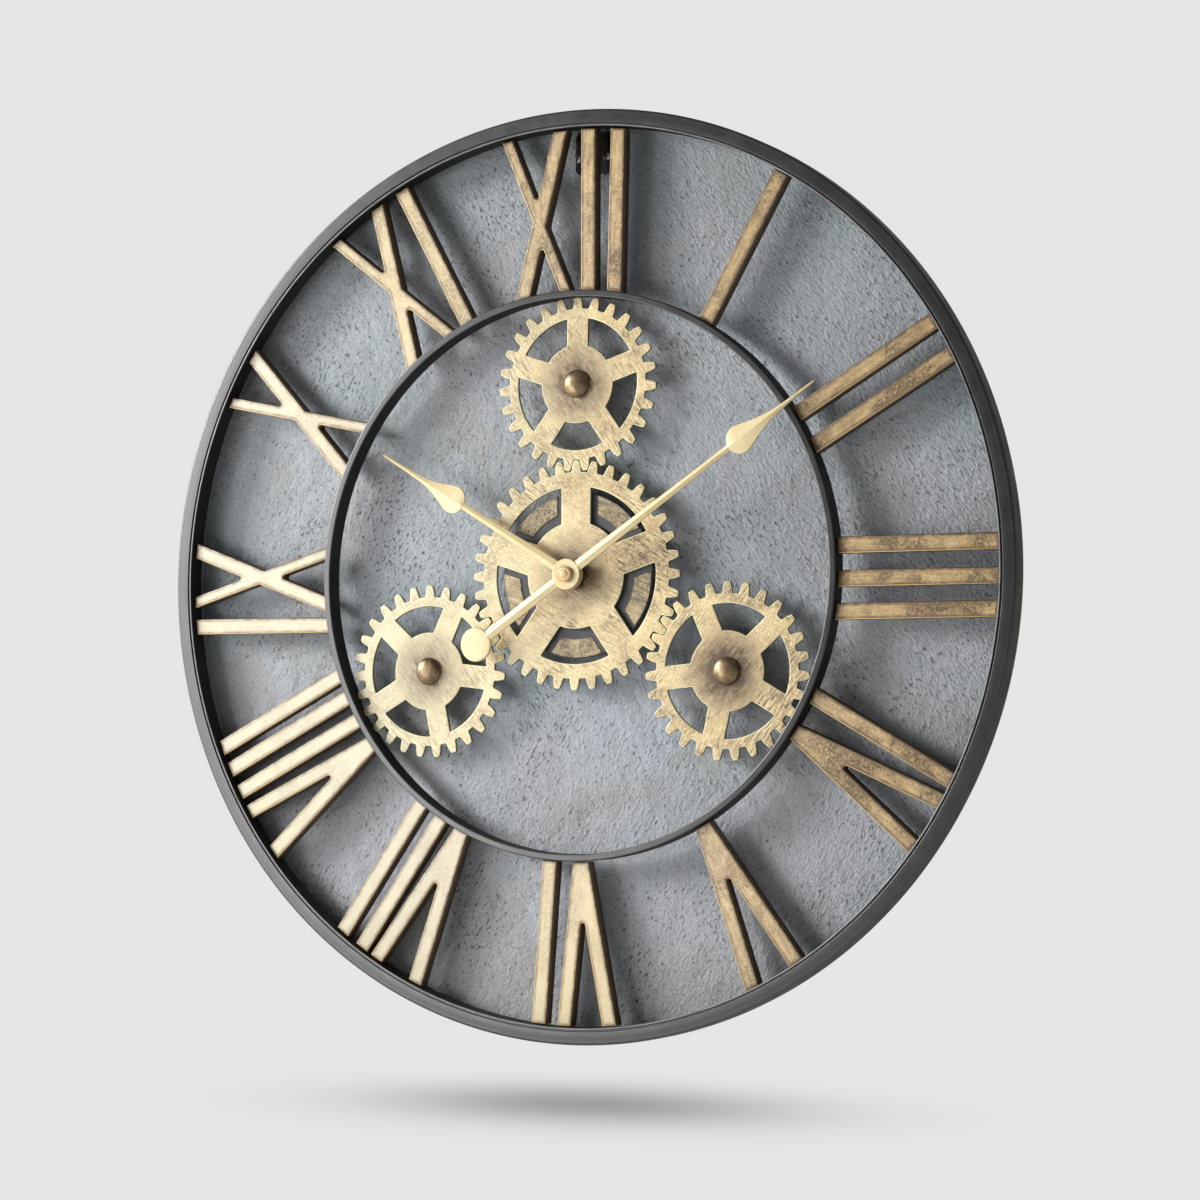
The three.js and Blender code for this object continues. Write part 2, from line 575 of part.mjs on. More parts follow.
piece('movement_cover', plate([
  [-CASE_X + CASE_WALL + GAP, CHAMBER_FOOT + GAP], [CASE_X - CASE_WALL - GAP, CHAMBER_FOOT + GAP],
  [CASE_X - CASE_WALL - GAP, CASE_TOP - CASE_WALL - GAP], [-CASE_X + CASE_WALL + GAP, CASE_TOP - CASE_WALL - GAP],
], [circle(ARBOR_R + 0.5, 16)], 39.5, 41.1), plastic);

const battery = new THREE.Group();
battery.position.set(0, (CASE_FOOT + CASE_WALL + BAY_TOP) / 2, -34.6);
battery.rotation.y = Math.PI / 2;
face.add(battery);
piece('battery_cell', turned([
  [0, 24.2], [6.6, 24.2], [7.1, 23.6], [7.1, -23.4], [6.4, -24], [2.7, -24], [2.7, -25.4], [0, -25.4],
], 20, false), cellJacket, battery);

// the hour wheel's phase leaves it in mesh with the pinion beside it
piece('hour_pipe', cut(
  join(
    plate(smallWheel(HOUR_WHEEL_TEETH, HOUR_MODULE, MOTION_ANGLE), [], 27.7, 29.3),
    rod(HOUR_PIPE_R, -2.9, 29.3, 20),
  ),
  rod(HOUR_PIPE_BORE_R, -4, 31, 20),
), brass);

piece('minute_arbor', join(
  plate(smallWheel(CANNON_TEETH, CANNON_MODULE, MOTION_ANGLE), [], 30.2, 33.4),
  rod(ARBOR_R, -7.1, 43, 16),
), steel);

const motion = new THREE.Group();
motion.position.set(motionX, motionY, 0);
face.add(motion);
piece('motion_wheel', cut(
  join(
    plate(smallWheel(MOTION_WHEEL_TEETH, CANNON_MODULE, MOTION_ANGLE + Math.PI + Math.PI / MOTION_WHEEL_TEETH), [], 30.6, 33),
    plate(smallWheel(MOTION_PINION_TEETH, HOUR_MODULE, MOTION_ANGLE + Math.PI + Math.PI / MOTION_PINION_TEETH), [], 27.5, 31),
  ),
  rod(1.3, 26, 36, 12),
), whitePlastic, motion);

const coil = new THREE.Group();
coil.position.set(-20, 7, -33.2);
coil.rotation.x = Math.PI / 2;
face.add(coil);
piece('stepper_coil', turned([
  [0, -13], [5.4, -13], [5.4, -11.6], [4.6, -11.6], [4.6, 11.6], [5.4, 11.6], [5.4, 13], [0, 13],
], 16, false), copper, coil);

piece('set_knob', turned([
  [0, 43.4], [ARBOR_R + GAP, 43.4], [ARBOR_R + GAP, 41.5], [5.4, 41.5], [6, 42], [6, 43.9], [5.5, 44.4], [0, 44.4],
], 24, false), plastic);

// ---------------------------------------------------------------- hanging hardware on the board

const HANGER_FOOT = 228, HANGER_TOP = 254, HANGER_T = 1.6;
const hat = [
  [-45, 25.3], [-28.4, 25.3], [-28.4, WALL_PLANE - HANGER_T], [28.4, WALL_PLANE - HANGER_T], [28.4, 25.3], [45, 25.3],
  [45, 25.3 + HANGER_T], [30, 25.3 + HANGER_T], [30, WALL_PLANE], [-30, WALL_PLANE], [-30, 25.3 + HANGER_T], [-45, 25.3 + HANGER_T],
];
const hatBar = new THREE.ExtrudeGeometry(toShape(hat), { depth: HANGER_TOP - HANGER_FOOT, bevelEnabled: false })
  .rotateX(-Math.PI / 2).translate(0, HANGER_FOOT, 0);
piece('hanger_plate', cut(hatBar,
  rod(5.5, 40, 47, 24, 0, 236.5),
  rod(2.6, 40, 47, 16, 0, 246.5),
  box(-2.6, 2.6, 236.5, 246.5, 40, 47),
  ...HANGER_SCREWS.map(([x, y]) => rod(2.1, 24, 28, 10, x, y)),
), steel);

HANGER_SCREWS.forEach(([x, y], i) => {
  piece(i ? 'hanger_screw_right' : 'hanger_screw_left', turned([
    [0, 23.2], [1.8, 23.2], [1.8, 27.2], [4, 27.2], [3.8, 28.4], [2.6, 29.2], [0, 29.4],
  ], 12, false).translate(x, y, 0), steel);
});

BUMPERS.forEach(([x, y], i) => {
  piece(i ? 'wall_bumper_right' : 'wall_bumper_left', turned([
    [0, 23.2], [2, 23.2], [2, 25.3], [10, 25.3], [8.4, 43.6], [7, WALL_PLANE], [0, WALL_PLANE],
  ], 16, false).translate(x, y, 0), rubber);
});

export default clock;
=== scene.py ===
import json
import math

import bmesh
import bpy
import numpy as np
from mathutils import Matrix, Quaternion, Vector
from mathutils.geometry import delaunay_2d_cdt

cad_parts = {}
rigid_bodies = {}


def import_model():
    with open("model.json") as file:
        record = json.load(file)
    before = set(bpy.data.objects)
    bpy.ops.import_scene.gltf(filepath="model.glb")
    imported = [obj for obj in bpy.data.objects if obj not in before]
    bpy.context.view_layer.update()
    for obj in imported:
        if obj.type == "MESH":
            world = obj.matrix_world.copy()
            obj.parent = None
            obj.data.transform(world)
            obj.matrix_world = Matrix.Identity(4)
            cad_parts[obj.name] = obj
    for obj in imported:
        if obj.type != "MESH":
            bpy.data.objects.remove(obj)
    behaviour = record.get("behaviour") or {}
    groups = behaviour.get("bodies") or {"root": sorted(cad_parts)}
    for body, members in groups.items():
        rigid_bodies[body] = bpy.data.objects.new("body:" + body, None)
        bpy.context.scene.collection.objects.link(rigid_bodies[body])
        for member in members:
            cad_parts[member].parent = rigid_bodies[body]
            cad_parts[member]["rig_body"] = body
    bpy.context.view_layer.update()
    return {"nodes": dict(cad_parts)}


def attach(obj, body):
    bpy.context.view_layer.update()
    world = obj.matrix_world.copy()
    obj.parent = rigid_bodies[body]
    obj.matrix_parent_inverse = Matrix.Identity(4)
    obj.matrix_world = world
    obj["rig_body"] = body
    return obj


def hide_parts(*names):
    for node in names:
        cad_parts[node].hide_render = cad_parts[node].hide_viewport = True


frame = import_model()

# Lengths below are millimetres. x is right, z is up and d is the depth behind the front plane of
# the rings, so a point sits at y = d - MID in the part's frame.
MID = 18.3
TAU = 2 * math.pi


def at(x, z, d):
    return (x * 0.001, (d - MID) * 0.001, z * 0.001)


# ------------------------------------------------------------------ meshes

class Shape:
    """Vertices and faces, with three surface weights: how much a point is on a rounded edge, how
    much it is on a side wall, and how near it is to the edge of a face."""

    def __init__(self):
        self.v, self.f, self.edge, self.side, self.near, self.mat = [], [], [], [], [], []

    def add(self, p, edge=0.0, side=0.0, near=0.0):
        self.v.append(p)
        self.edge.append(edge)
        self.side.append(side)
        self.near.append(near)
        return len(self.v) - 1

    def face(self, idx, mat=0):
        self.f.append(tuple(idx))
        self.mat.append(mat)

    def join(self, other):
        n = len(self.v)
        self.v += other.v
        self.edge += other.edge
        self.side += other.side
        self.near += other.near
        self.f += [tuple(i + n for i in f) for f in other.f]
        self.mat += other.mat
        return self


def area2(loop):
    p = np.array(loop)
    q = np.roll(p, -1, 0)
    return float((p[:, 0] * q[:, 1] - q[:, 0] * p[:, 1]).sum())


def ccw(loop):
    return list(loop) if area2(loop) > 0 else list(reversed(loop))


def cw(loop):
    return list(loop) if area2(loop) < 0 else list(reversed(loop))


def clean(loop, tol=1e-4):
    out = []
    for p in loop:
        if not out or math.hypot(p[0] - out[-1][0], p[1] - out[-1][1]) > tol:
            out.append((float(p[0]), float(p[1])))
    while len(out) > 3 and math.hypot(out[0][0] - out[-1][0], out[0][1] - out[-1][1]) <= tol:
        out.pop()
    return out


def inset(loop, amount):
    """Moves a loop sideways into the material, which lies on its left."""
    p = np.array(loop, float)
    e1 = p - np.roll(p, 1, 0)
    e2 = np.roll(p, -1, 0) - p
    e1 /= np.linalg.norm(e1, axis=1)[:, None]
    e2 /= np.linalg.norm(e2, axis=1)[:, None]
    n1 = np.stack([-e1[:, 1], e1[:, 0]], 1)
    n2 = np.stack([-e2[:, 1], e2[:, 0]], 1)
    den = np.maximum(1 + (n1 * n2).sum(1), 0.25)
    return p + amount * (n1 + n2) / den[:, None]


def inside(px, py, loops):
    """Even-odd test of many points against several loops."""
    hit = np.zeros(len(px), bool)
    for loop in loops:
        p = np.array(loop)
        q = np.roll(p, -1, 0)
        for (x0, y0), (x1, y1) in zip(p, q):
            if y0 == y1:
                continue
            c = ((y0 > py) != (y1 > py)) & (px < (x1 - x0) * (py - y0) / (y1 - y0) + x0)
            hit ^= c
    return hit


def fill(loops, extra=()):
    """Triangles over the region between loops, as indices into the loops' points and then extra."""
    pts, edges = [], []
    for loop in loops:
        n = len(pts)
        pts += [Vector((float(x), float(y))) for x, y in loop]
        edges += [(n + i, n + (i + 1) % len(loop)) for i in range(len(loop))]
    pts += [Vector((float(x), float(y))) for x, y in extra]
    v, _, f, orig, _, _ = delaunay_2d_cdt(pts, edges, [], 0, 1e-6)
    back = [o[0] if o else -1 for o in orig]
    c = np.array([[(v[a].x + v[b].x + v[d].x) / 3, (v[a].y + v[b].y + v[d].y) / 3] for a, b, d in f])
    keep = inside(c[:, 0], c[:, 1], loops)
    tris = [tuple(back[i] for i in t) for t, k in zip(f, keep) if k]
    xy = np.array([(p.x, p.y) for p in pts])
    t = np.array(tris)
    a, b, d = xy[t[:, 0]], xy[t[:, 1]], xy[t[:, 2]]
    got = abs((b[:, 0] - a[:, 0]) * (d[:, 1] - a[:, 1]) - (b[:, 1] - a[:, 1]) * (d[:, 0] - a[:, 0])).sum()
    want = abs(sum(area2(l) for l in loops))
    if (t < 0).any() or abs(got - want) > 0.002 * want:
        raise ValueError("a loop crosses itself or its neighbour")
    return tris


def plate(outline, holes, front, back, bf, bb, segs=4, support=0.12, place=None, pockets=(), rim=0.0):
    """A slab between two depths with rounded edges. Holes run through, pockets are (loop, floor
    depth) and are open to the rear only."""
    place = place or at
    s = Shape()

    def rows_of(hole_floor=None):
        rows = []
        if hole_floor is None:
            if rim:
                rows.append((bf + support + rim, front, 0.0, 0.0, 0.0))
            rows.append((bf + support, front, 0.0, 0.0, 1.0))
            for k in range(segs + 1):
                t = math.pi / 2 * k / segs
                rows.append((bf * (1 - math.sin(t)), front + bf * (1 - math.cos(t)), 0.25 + 0.75 * math.sin(2 * t), t / (math.pi / 2), 1.0))
            rows.append((0.0, front + bf + support, 0.0, 1.0, 1.0))
        else:
            rows.append((0.0, hole_floor, 0.0, 1.0, 1.0))
        rows.append((0.0, back - bb - support, 0.0, 1.0, 1.0))
        for k in range(segs + 1):
            t = math.pi / 2 * k / segs
            rows.append((bb * (1 - math.cos(t)), back - bb * (1 - math.sin(t)), 0.25 + 0.75 * math.sin(2 * t), 1.0, 1.0))
        rows.append((bb + support, back, 0.0, 1.0, 1.0))
        return rows

    def wall(loop, rows):
        index = []
        for a, d, e, w, k in rows:
            ring = inset(loop, a) if a else np.array(loop, float)
            index.append([s.add(place(x, y, d), e, w, k) for x, y in ring])
        n = len(loop)
        for r0, r1 in zip(index, index[1:]):
            for i in range(n):
                j = (i + 1) % n
                s.face((r0[i], r0[j], r1[j], r1[i]))
        return index

    outer = ccw(clean(outline))
    through = [cw(clean(h)) for h in holes]
    blind = [(cw(clean(l)), floor) for l, floor in pockets]
    walls = [wall(outer, rows_of())] + [wall(h, rows_of()) for h in through]
    blind_walls = [wall(l, rows_of(floor)) for l, floor in blind]

    front_loops = [inset(l, bf + support + rim) for l in [outer] + through]
    flat = [i for w in walls for i in w[0]]
    for t in fill(front_loops):
        s.face([flat[i] for i in t])
    back_loops = [inset(l, bb + support) for l in [outer] + through + [l for l, _ in blind]]
    flat = [i for w in walls + blind_walls for i in w[-1]]
    for t in fill(back_loops):
        s.face([flat[i] for i in t])
    for w, (l, floor) in zip(blind_walls, blind):
        for t in fill([l]):
            s.face([w[0][i] for i in t])
    return s


def lathe(profile, segs, closed, cx=0.0, cz=0.0, place=None):
    """Turns (radius, depth, edge, side) points about the axis through (cx, cz)."""
    place = place or at
    s = Shape()
    ring = [(math.cos(TAU * i / segs), math.sin(TAU * i / segs)) for i in range(segs)]
    index = []
    for r, d, e, w in profile:
        if r < 1e-6:
            i = s.add(place(cx, cz, d), e, w)
            index.append([i] * segs)
        else:
            index.append([s.add(place(cx + r * c, cz + r * n, d), e, w) for c, n in ring])
    pairs = list(zip(index, index[1:]))
    if closed:
        pairs.append((index[-1], index[0]))
    for a, b in pairs:
        for i in range(segs):
            j = (i + 1) % segs
            quad = []
            for k in (a[i], a[j], b[j], b[i]):
                if k not in quad:
                    quad.append(k)
            if len(quad) > 2:
                s.face(quad)
    return s


def rounded(points, radii, steps=4, support=0.12, closed=True):
    """A profile with its corners rounded, as (radius, depth, edge, side) points."""
    out = []
    n = len(points)
    for i, b in enumerate(points):
        r = radii[i]
        if not r or (not closed and i in (0, n - 1)):
            out.append((b[0], b[1], 0.0, 0.0))
            continue
        a, c = points[i - 1], points[(i + 1) % n]
        arc = corner(a, b, c, r, steps)
        if arc is None:
            out.append((b[0], b[1], 0.0, 0.0))
            continue
        p, q = arc[0], arc[-1]
        la, lc = math.dist(a, p), math.dist(c, q)
        if la > 2.2 * support:
            out.append((p[0] + (a[0] - p[0]) * support / la, p[1] + (a[1] - p[1]) * support / la, 0.0, 0.0))
        m = len(arc) - 1
        out += [(x, y, 0.25 + 0.75 * math.sin(math.pi * k / m), 0.0) for k, (x, y) in enumerate(arc)]
        if lc > 2.2 * support:
            out.append((q[0] + (c[0] - q[0]) * support / lc, q[1] + (c[1] - q[1]) * support / lc, 0.0, 0.0))
    return out


def corner(a, b, c, r, steps):
    ua, uc = np.array(a, float) - b, np.array(c, float) - b
    la, lc = np.linalg.norm(ua), np.linalg.norm(uc)
    ua, uc = ua / la, uc / lc
    ang = math.acos(max(-1.0, min(1.0, float(ua @ uc))))
    if ang > math.pi - 0.02:
        return None
    along = min(r / math.tan(ang / 2), 0.46 * la, 0.46 * lc)
    r = along * math.tan(ang / 2)
    mid = (ua + uc) / np.linalg.norm(ua + uc)
    o = np.array(b) + mid * r / math.sin(ang / 2)
    p, q = np.array(b) + ua * along, np.array(b) + uc * along
    t0 = math.atan2(p[1] - o[1], p[0] - o[0])
    t1 = math.atan2(q[1] - o[1], q[0] - o[0])
    while t1 - t0 > math.pi:
        t1 -= TAU
    while t1 - t0 < -math.pi:
        t1 += TAU
    return [(o[0] + r * math.cos(t0 + (t1 - t0) * k / steps), o[1] + r * math.sin(t0 + (t1 - t0) * k / steps)) for k in range(steps + 1)]


def soften(loop, r_out, r_in, min_turn=16, steps=4):
    """Rounds the corners of a loop: r_out where it bulges, r_in where it is hollow."""
    p = ccw(clean(loop))
    n = len(p)
    out = []
    for i, b in enumerate(p):
        a, c = p[i - 1], p[(i + 1) % n]
        d1, d2 = (b[0] - a[0], b[1] - a[1]), (c[0] - b[0], c[1] - b[1])
        turn = math.atan2(d1[0] * d2[1] - d1[1] * d2[0], d1[0] * d2[0] + d1[1] * d2[1])
        r = r_out if turn > 0 else r_in
        if abs(math.degrees(turn)) < min_turn or not r:
            out.append(b)
            continue
        out += corner(a, b, c, r, steps) or [b]
    return clean(out)


def circle(r, n, cx=0.0, cz=0.0, turn=0.0):
    return [(cx + r * math.cos(turn + TAU * i / n), cz + r * math.sin(turn + TAU * i / n)) for i in range(n)]


def mesh_of(name, shape, sharp=32):
    me = bpy.data.meshes.new(name)
    me.from_pydata(shape.v, [], shape.f)
    bm = bmesh.new()
    bm.from_mesh(me)
    bmesh.ops.recalc_face_normals(bm, faces=bm.faces)
    for f, m in zip(bm.faces, shape.mat):
        f.material_index = m
        f.smooth = True
    bm.to_mesh(me)
    bm.free()
    for key in ("edge", "side", "near"):
        a = me.attributes.new(key, "FLOAT", "POINT")
        a.data.foreach_set("value", np.array(getattr(shape, key), np.float32))
    me.set_sharp_from_angle(angle=math.radians(sharp))
    return me


def mark_walls(me):
    """Marks the points of a joined mesh that lie on walls, for the materials."""
    n = np.zeros(len(me.vertices) * 3, np.float32)
    me.vertices.foreach_get("normal", n)
    flat = np.abs(n.reshape(-1, 3)[:, 1])
    side = np.clip((0.80 - flat) / 0.45, 0.0, 1.0).astype(np.float32)
    a = me.attributes.get("side") or me.attributes.new("side", "FLOAT", "POINT")
    a.data.foreach_set("value", side)
    return me


def node_body(node):
    return frame["nodes"][node]["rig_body"]


def piece(node, shape, *mats, sharp=32):
    """Puts a finished shape in place of a node, on the node's body and in its finish slot."""
    me = shape if isinstance(shape, bpy.types.Mesh) else mesh_of(node + "_look", shape, sharp)
    o = bpy.data.objects.new(node + "_look", me)
    bpy.context.scene.collection.objects.link(o)
    index = np.zeros(len(me.polygons), np.int32)
    me.polygons.foreach_get("material_index", index)
    me.materials.clear()
    for m in mats:
        me.materials.append(m)
    me.polygons.foreach_set("material_index", np.minimum(index, len(mats) - 1))
    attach(o, node_body(node))
    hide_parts(node)
    return o


def tidy(me):
    """Merges the points that a cut or a join leaves on top of each other."""
    bm = bmesh.new()
    bm.from_mesh(me)
    bmesh.ops.remove_doubles(bm, verts=bm.verts, dist=2e-6)
    bmesh.ops.dissolve_degenerate(bm, dist=1e-7, edges=bm.edges)
    bm.to_mesh(me)
    bm.free()


def cut(shape, *cutters, name="cut", sharp=32):
    """A mesh with other shapes taken out of it."""
    base = bpy.data.objects.new(name, mesh_of(name, shape, sharp))
    bpy.context.scene.collection.objects.link(base)
    tools = []
    for i, c in enumerate(cutters):
        t = bpy.data.objects.new(f"{name}_{i}", mesh_of(f"{name}_{i}", c, sharp))
        bpy.context.scene.collection.objects.link(t)
        m = base.modifiers.new(f"cut{i}", "BOOLEAN")
        m.operation, m.solver, m.object = "DIFFERENCE", "EXACT", t
        tools.append(t)
    dg = bpy.context.evaluated_depsgraph_get()
    me = bpy.data.meshes.new_from_object(base.evaluated_get(dg))
    for o in [base] + tools:
        bpy.data.objects.remove(o)
    tidy(me)
    for p in me.polygons:
        p.use_smooth = True
        p.material_index = 0
    me.set_sharp_from_angle(angle=math.radians(sharp))
    return me


def unite(shape, *others, name="join", sharp=32):
    """One closed mesh from shapes that overlap."""
    base = bpy.data.objects.new(name, mesh_of(name, shape, sharp))
    bpy.context.scene.collection.objects.link(base)
    tools = []
    for i, c in enumerate(others):
        t = bpy.data.objects.new(f"{name}_{i}", mesh_of(f"{name}_{i}", c, sharp))
        bpy.context.scene.collection.objects.link(t)
        m = base.modifiers.new(f"join{i}", "BOOLEAN")
        m.operation, m.solver, m.object = "UNION", "EXACT", t
        tools.append(t)
    dg = bpy.context.evaluated_depsgraph_get()
    me = bpy.data.meshes.new_from_object(base.evaluated_get(dg))
    for o in [base] + tools:
        bpy.data.objects.remove(o)
    tidy(me)
    for p in me.polygons:
        p.use_smooth = True
    me.set_sharp_from_angle(angle=math.radians(sharp))
    return me


# ------------------------------------------------------------------ materials

class Graph:
    """A small helper for building a surface from nodes."""

    def __init__(self, name):
        self.m = bpy.data.materials.new(name)
        self.m.use_nodes = True
        self.t = self.m.node_tree
        self.t.nodes.clear()
        self.out = self.t.nodes.new("ShaderNodeOutputMaterial")
        self.p = self.t.nodes.new("ShaderNodeBsdfPrincipled")
        self.t.links.new(self.p.outputs["BSDF"], self.out.inputs["Surface"])
        self.coord = self.t.nodes.new("ShaderNodeTexCoord").outputs["Object"]

    def put(self, value, socket):
        if isinstance(value, bpy.types.NodeSocket):
            self.t.links.new(value, socket)
        else:
            socket.default_value = value

    def n(self, kind, inputs=None, **props):
        node = self.t.nodes.new(kind)
        for k, v in props.items():
            setattr(node, k, v)
        for k, v in (inputs or {}).items():
            self.put(v, node.inputs[k])
        return node

    def mapped(self, scale=(1, 1, 1), rot=(0, 0, 0), loc=(0, 0, 0), vector=None):
        turned = vector or self.coord
        if any(rot):
            turned = self.n("ShaderNodeMapping", {"Vector": turned, "Rotation": [math.radians(a) for a in rot]}).outputs[0]
        return self.n("ShaderNodeMapping", {"Vector": turned, "Scale": scale, "Location": loc}).outputs[0]

    def noise(self, scale, detail=4.0, rough=0.55, vector=None, distortion=0.0):
        return self.n("ShaderNodeTexNoise", {"Vector": vector or self.coord, "Scale": scale, "Detail": detail, "Roughness": rough, "Distortion": distortion}).outputs["Fac"]

    def voronoi(self, scale, vector=None, feature="F1", rand=1.0):
        return self.n("ShaderNodeTexVoronoi", {"Vector": vector or self.coord, "Scale": scale, "Randomness": rand}, feature=feature).outputs["Distance"]

    def ramp(self, fac, stops, mode="LINEAR"):
        node = self.n("ShaderNodeValToRGB", {"Fac": fac})
        cr = node.color_ramp
        cr.interpolation = mode
        while len(cr.elements) > len(stops):
            cr.elements.remove(cr.elements[-1])
        while len(cr.elements) < len(stops):
            cr.elements.new(1.0)
        for e, (pos, col) in zip(cr.elements, stops):
            e.position = pos
            e.color = (col, col, col, 1.0) if isinstance(col, (int, float)) else (*col, 1.0)
        return node.outputs["Color"]

    def span(self, fac, a, b, lo=0.0, hi=1.0, smooth=False):
        node = self.n("ShaderNodeMapRange", {"Value": fac, "From Min": a, "From Max": b, "To Min": lo, "To Max": hi})
        node.interpolation_type = "SMOOTHSTEP" if smooth else "LINEAR"
        return node.outputs["Result"]

    def mix(self, fac, a, b, blend="MIX"):
        node = self.n("ShaderNodeMix", data_type="RGBA", blend_type=blend)
        for value, socket in ((fac, node.inputs[0]), (a, node.inputs[6]), (b, node.inputs[7])):
            if isinstance(value, tuple) and len(value) == 3:
                value = (*value, 1.0)
            self.put(value, socket)
        return node.outputs[2]

    def math(self, op, a, b=None, clamp=False):
        node = self.n("ShaderNodeMath", operation=op, use_clamp=clamp)
        self.put(a, node.inputs[0])
        if b is not None:
            self.put(b, node.inputs[1])
        return node.outputs[0]

    def attr(self, name):
        return self.n("ShaderNodeAttribute", attribute_name=name).outputs["Fac"]

    def xyz(self):
        node = self.n("ShaderNodeSeparateXYZ", {"Vector": self.coord})
        return node.outputs[0], node.outputs[1], node.outputs[2]

    def distance(self, point):
        return self.n("ShaderNodeVectorMath", {0: self.coord, 1: point}, operation="DISTANCE").outputs["Value"]

    def bump(self, height, strength, distance, normal=None):
        inputs = {"Height": height, "Strength": strength, "Distance": distance}
        if normal is not None:
            inputs["Normal"] = normal
        return self.n("ShaderNodeBump", inputs).outputs["Normal"]

    def set(self, **kw):
        names = {"color": "Base Color", "rough": "Roughness", "metal": "Metallic", "normal": "Normal", "spec": "Specular IOR Level",
                 "coat": "Coat Weight", "coat_rough": "Coat Roughness", "sheen": "Sheen Weight", "aniso": "Anisotropic"}
        for k, v in kw.items():
            if isinstance(v, tuple) and len(v) == 3:
                v = (*v, 1.0)
            self.put(v, self.p.inputs[names[k]])
        return self.m


def dull_black():
    g = Graph("black_dull_paint")
    cloud = g.noise(14, 4, 0.55)
    color = g.ramp(cloud, [(0.3, (0.0055, 0.0055, 0.0057)), (0.7, (0.0090, 0.0089, 0.0088))])
    dust = g.span(g.noise(700, 4, 0.7), 0.56, 0.75, 0.0, 0.4)
    color = g.mix(dust, color, (0.022, 0.021, 0.020))
    return g.set(color=color, rough=g.span(g.noise(90, 4, 0.6), 0.3, 0.7, 0.55, 0.68), spec=0.30, normal=g.bump(g.noise(900, 3, 0.6), 0.18, 0.0003))


def black_paint():
    g = Graph("black_satin_paint")
    cloud = g.noise(9, 3, 0.5)
    base = g.ramp(cloud, [(0.3, (0.0060, 0.0060, 0.0062)), (0.7, (0.0095, 0.0093, 0.0092))])
    edge = g.span(g.attr("edge"), 0.5, 1.0, 0.0, 0.5)
    worn = g.math("MULTIPLY", edge, g.span(g.noise(240, 4, 0.6), 0.35, 0.7))
    color = g.mix(worn, base, (0.050, 0.049, 0.047))
    # painted highlight: the inner lip of each ring is painted paler, standing for the bright line along its edge
    out = g.n("ShaderNodeVectorMath", {0: g.mapped(scale=(1, 0, 1))}, operation="LENGTH").outputs["Value"]
    lip = g.math("MAXIMUM", g.span(out, 0.28995, 0.29020, 1.0, 0.0), 0.0)
    lip = g.math("MULTIPLY", lip, g.math("MAXIMUM", g.span(out, 0.2880, 0.2885, 0.0, 1.0), g.math("MULTIPLY", g.span(out, 0.17955, 0.17970, 1.0, 0.0), 0.25)))
    lip = g.math("MULTIPLY", lip, g.span(g.noise(90, 4, 0.6), 0.30, 0.55, 0.35, 1.0))
    color = g.mix(lip, color, (0.150, 0.149, 0.145))
    dust = g.span(g.noise(900, 4, 0.7), 0.58, 0.75, 0.0, 0.4)
    color = g.mix(dust, color, (0.030, 0.029, 0.028))
    rough = g.span(g.noise(60, 4, 0.6), 0.3, 0.7, 0.29, 0.38)
    return g.set(color=color, rough=rough, spec=0.84, normal=g.bump(g.noise(1400, 3, 0.6), 0.16, 0.0002))


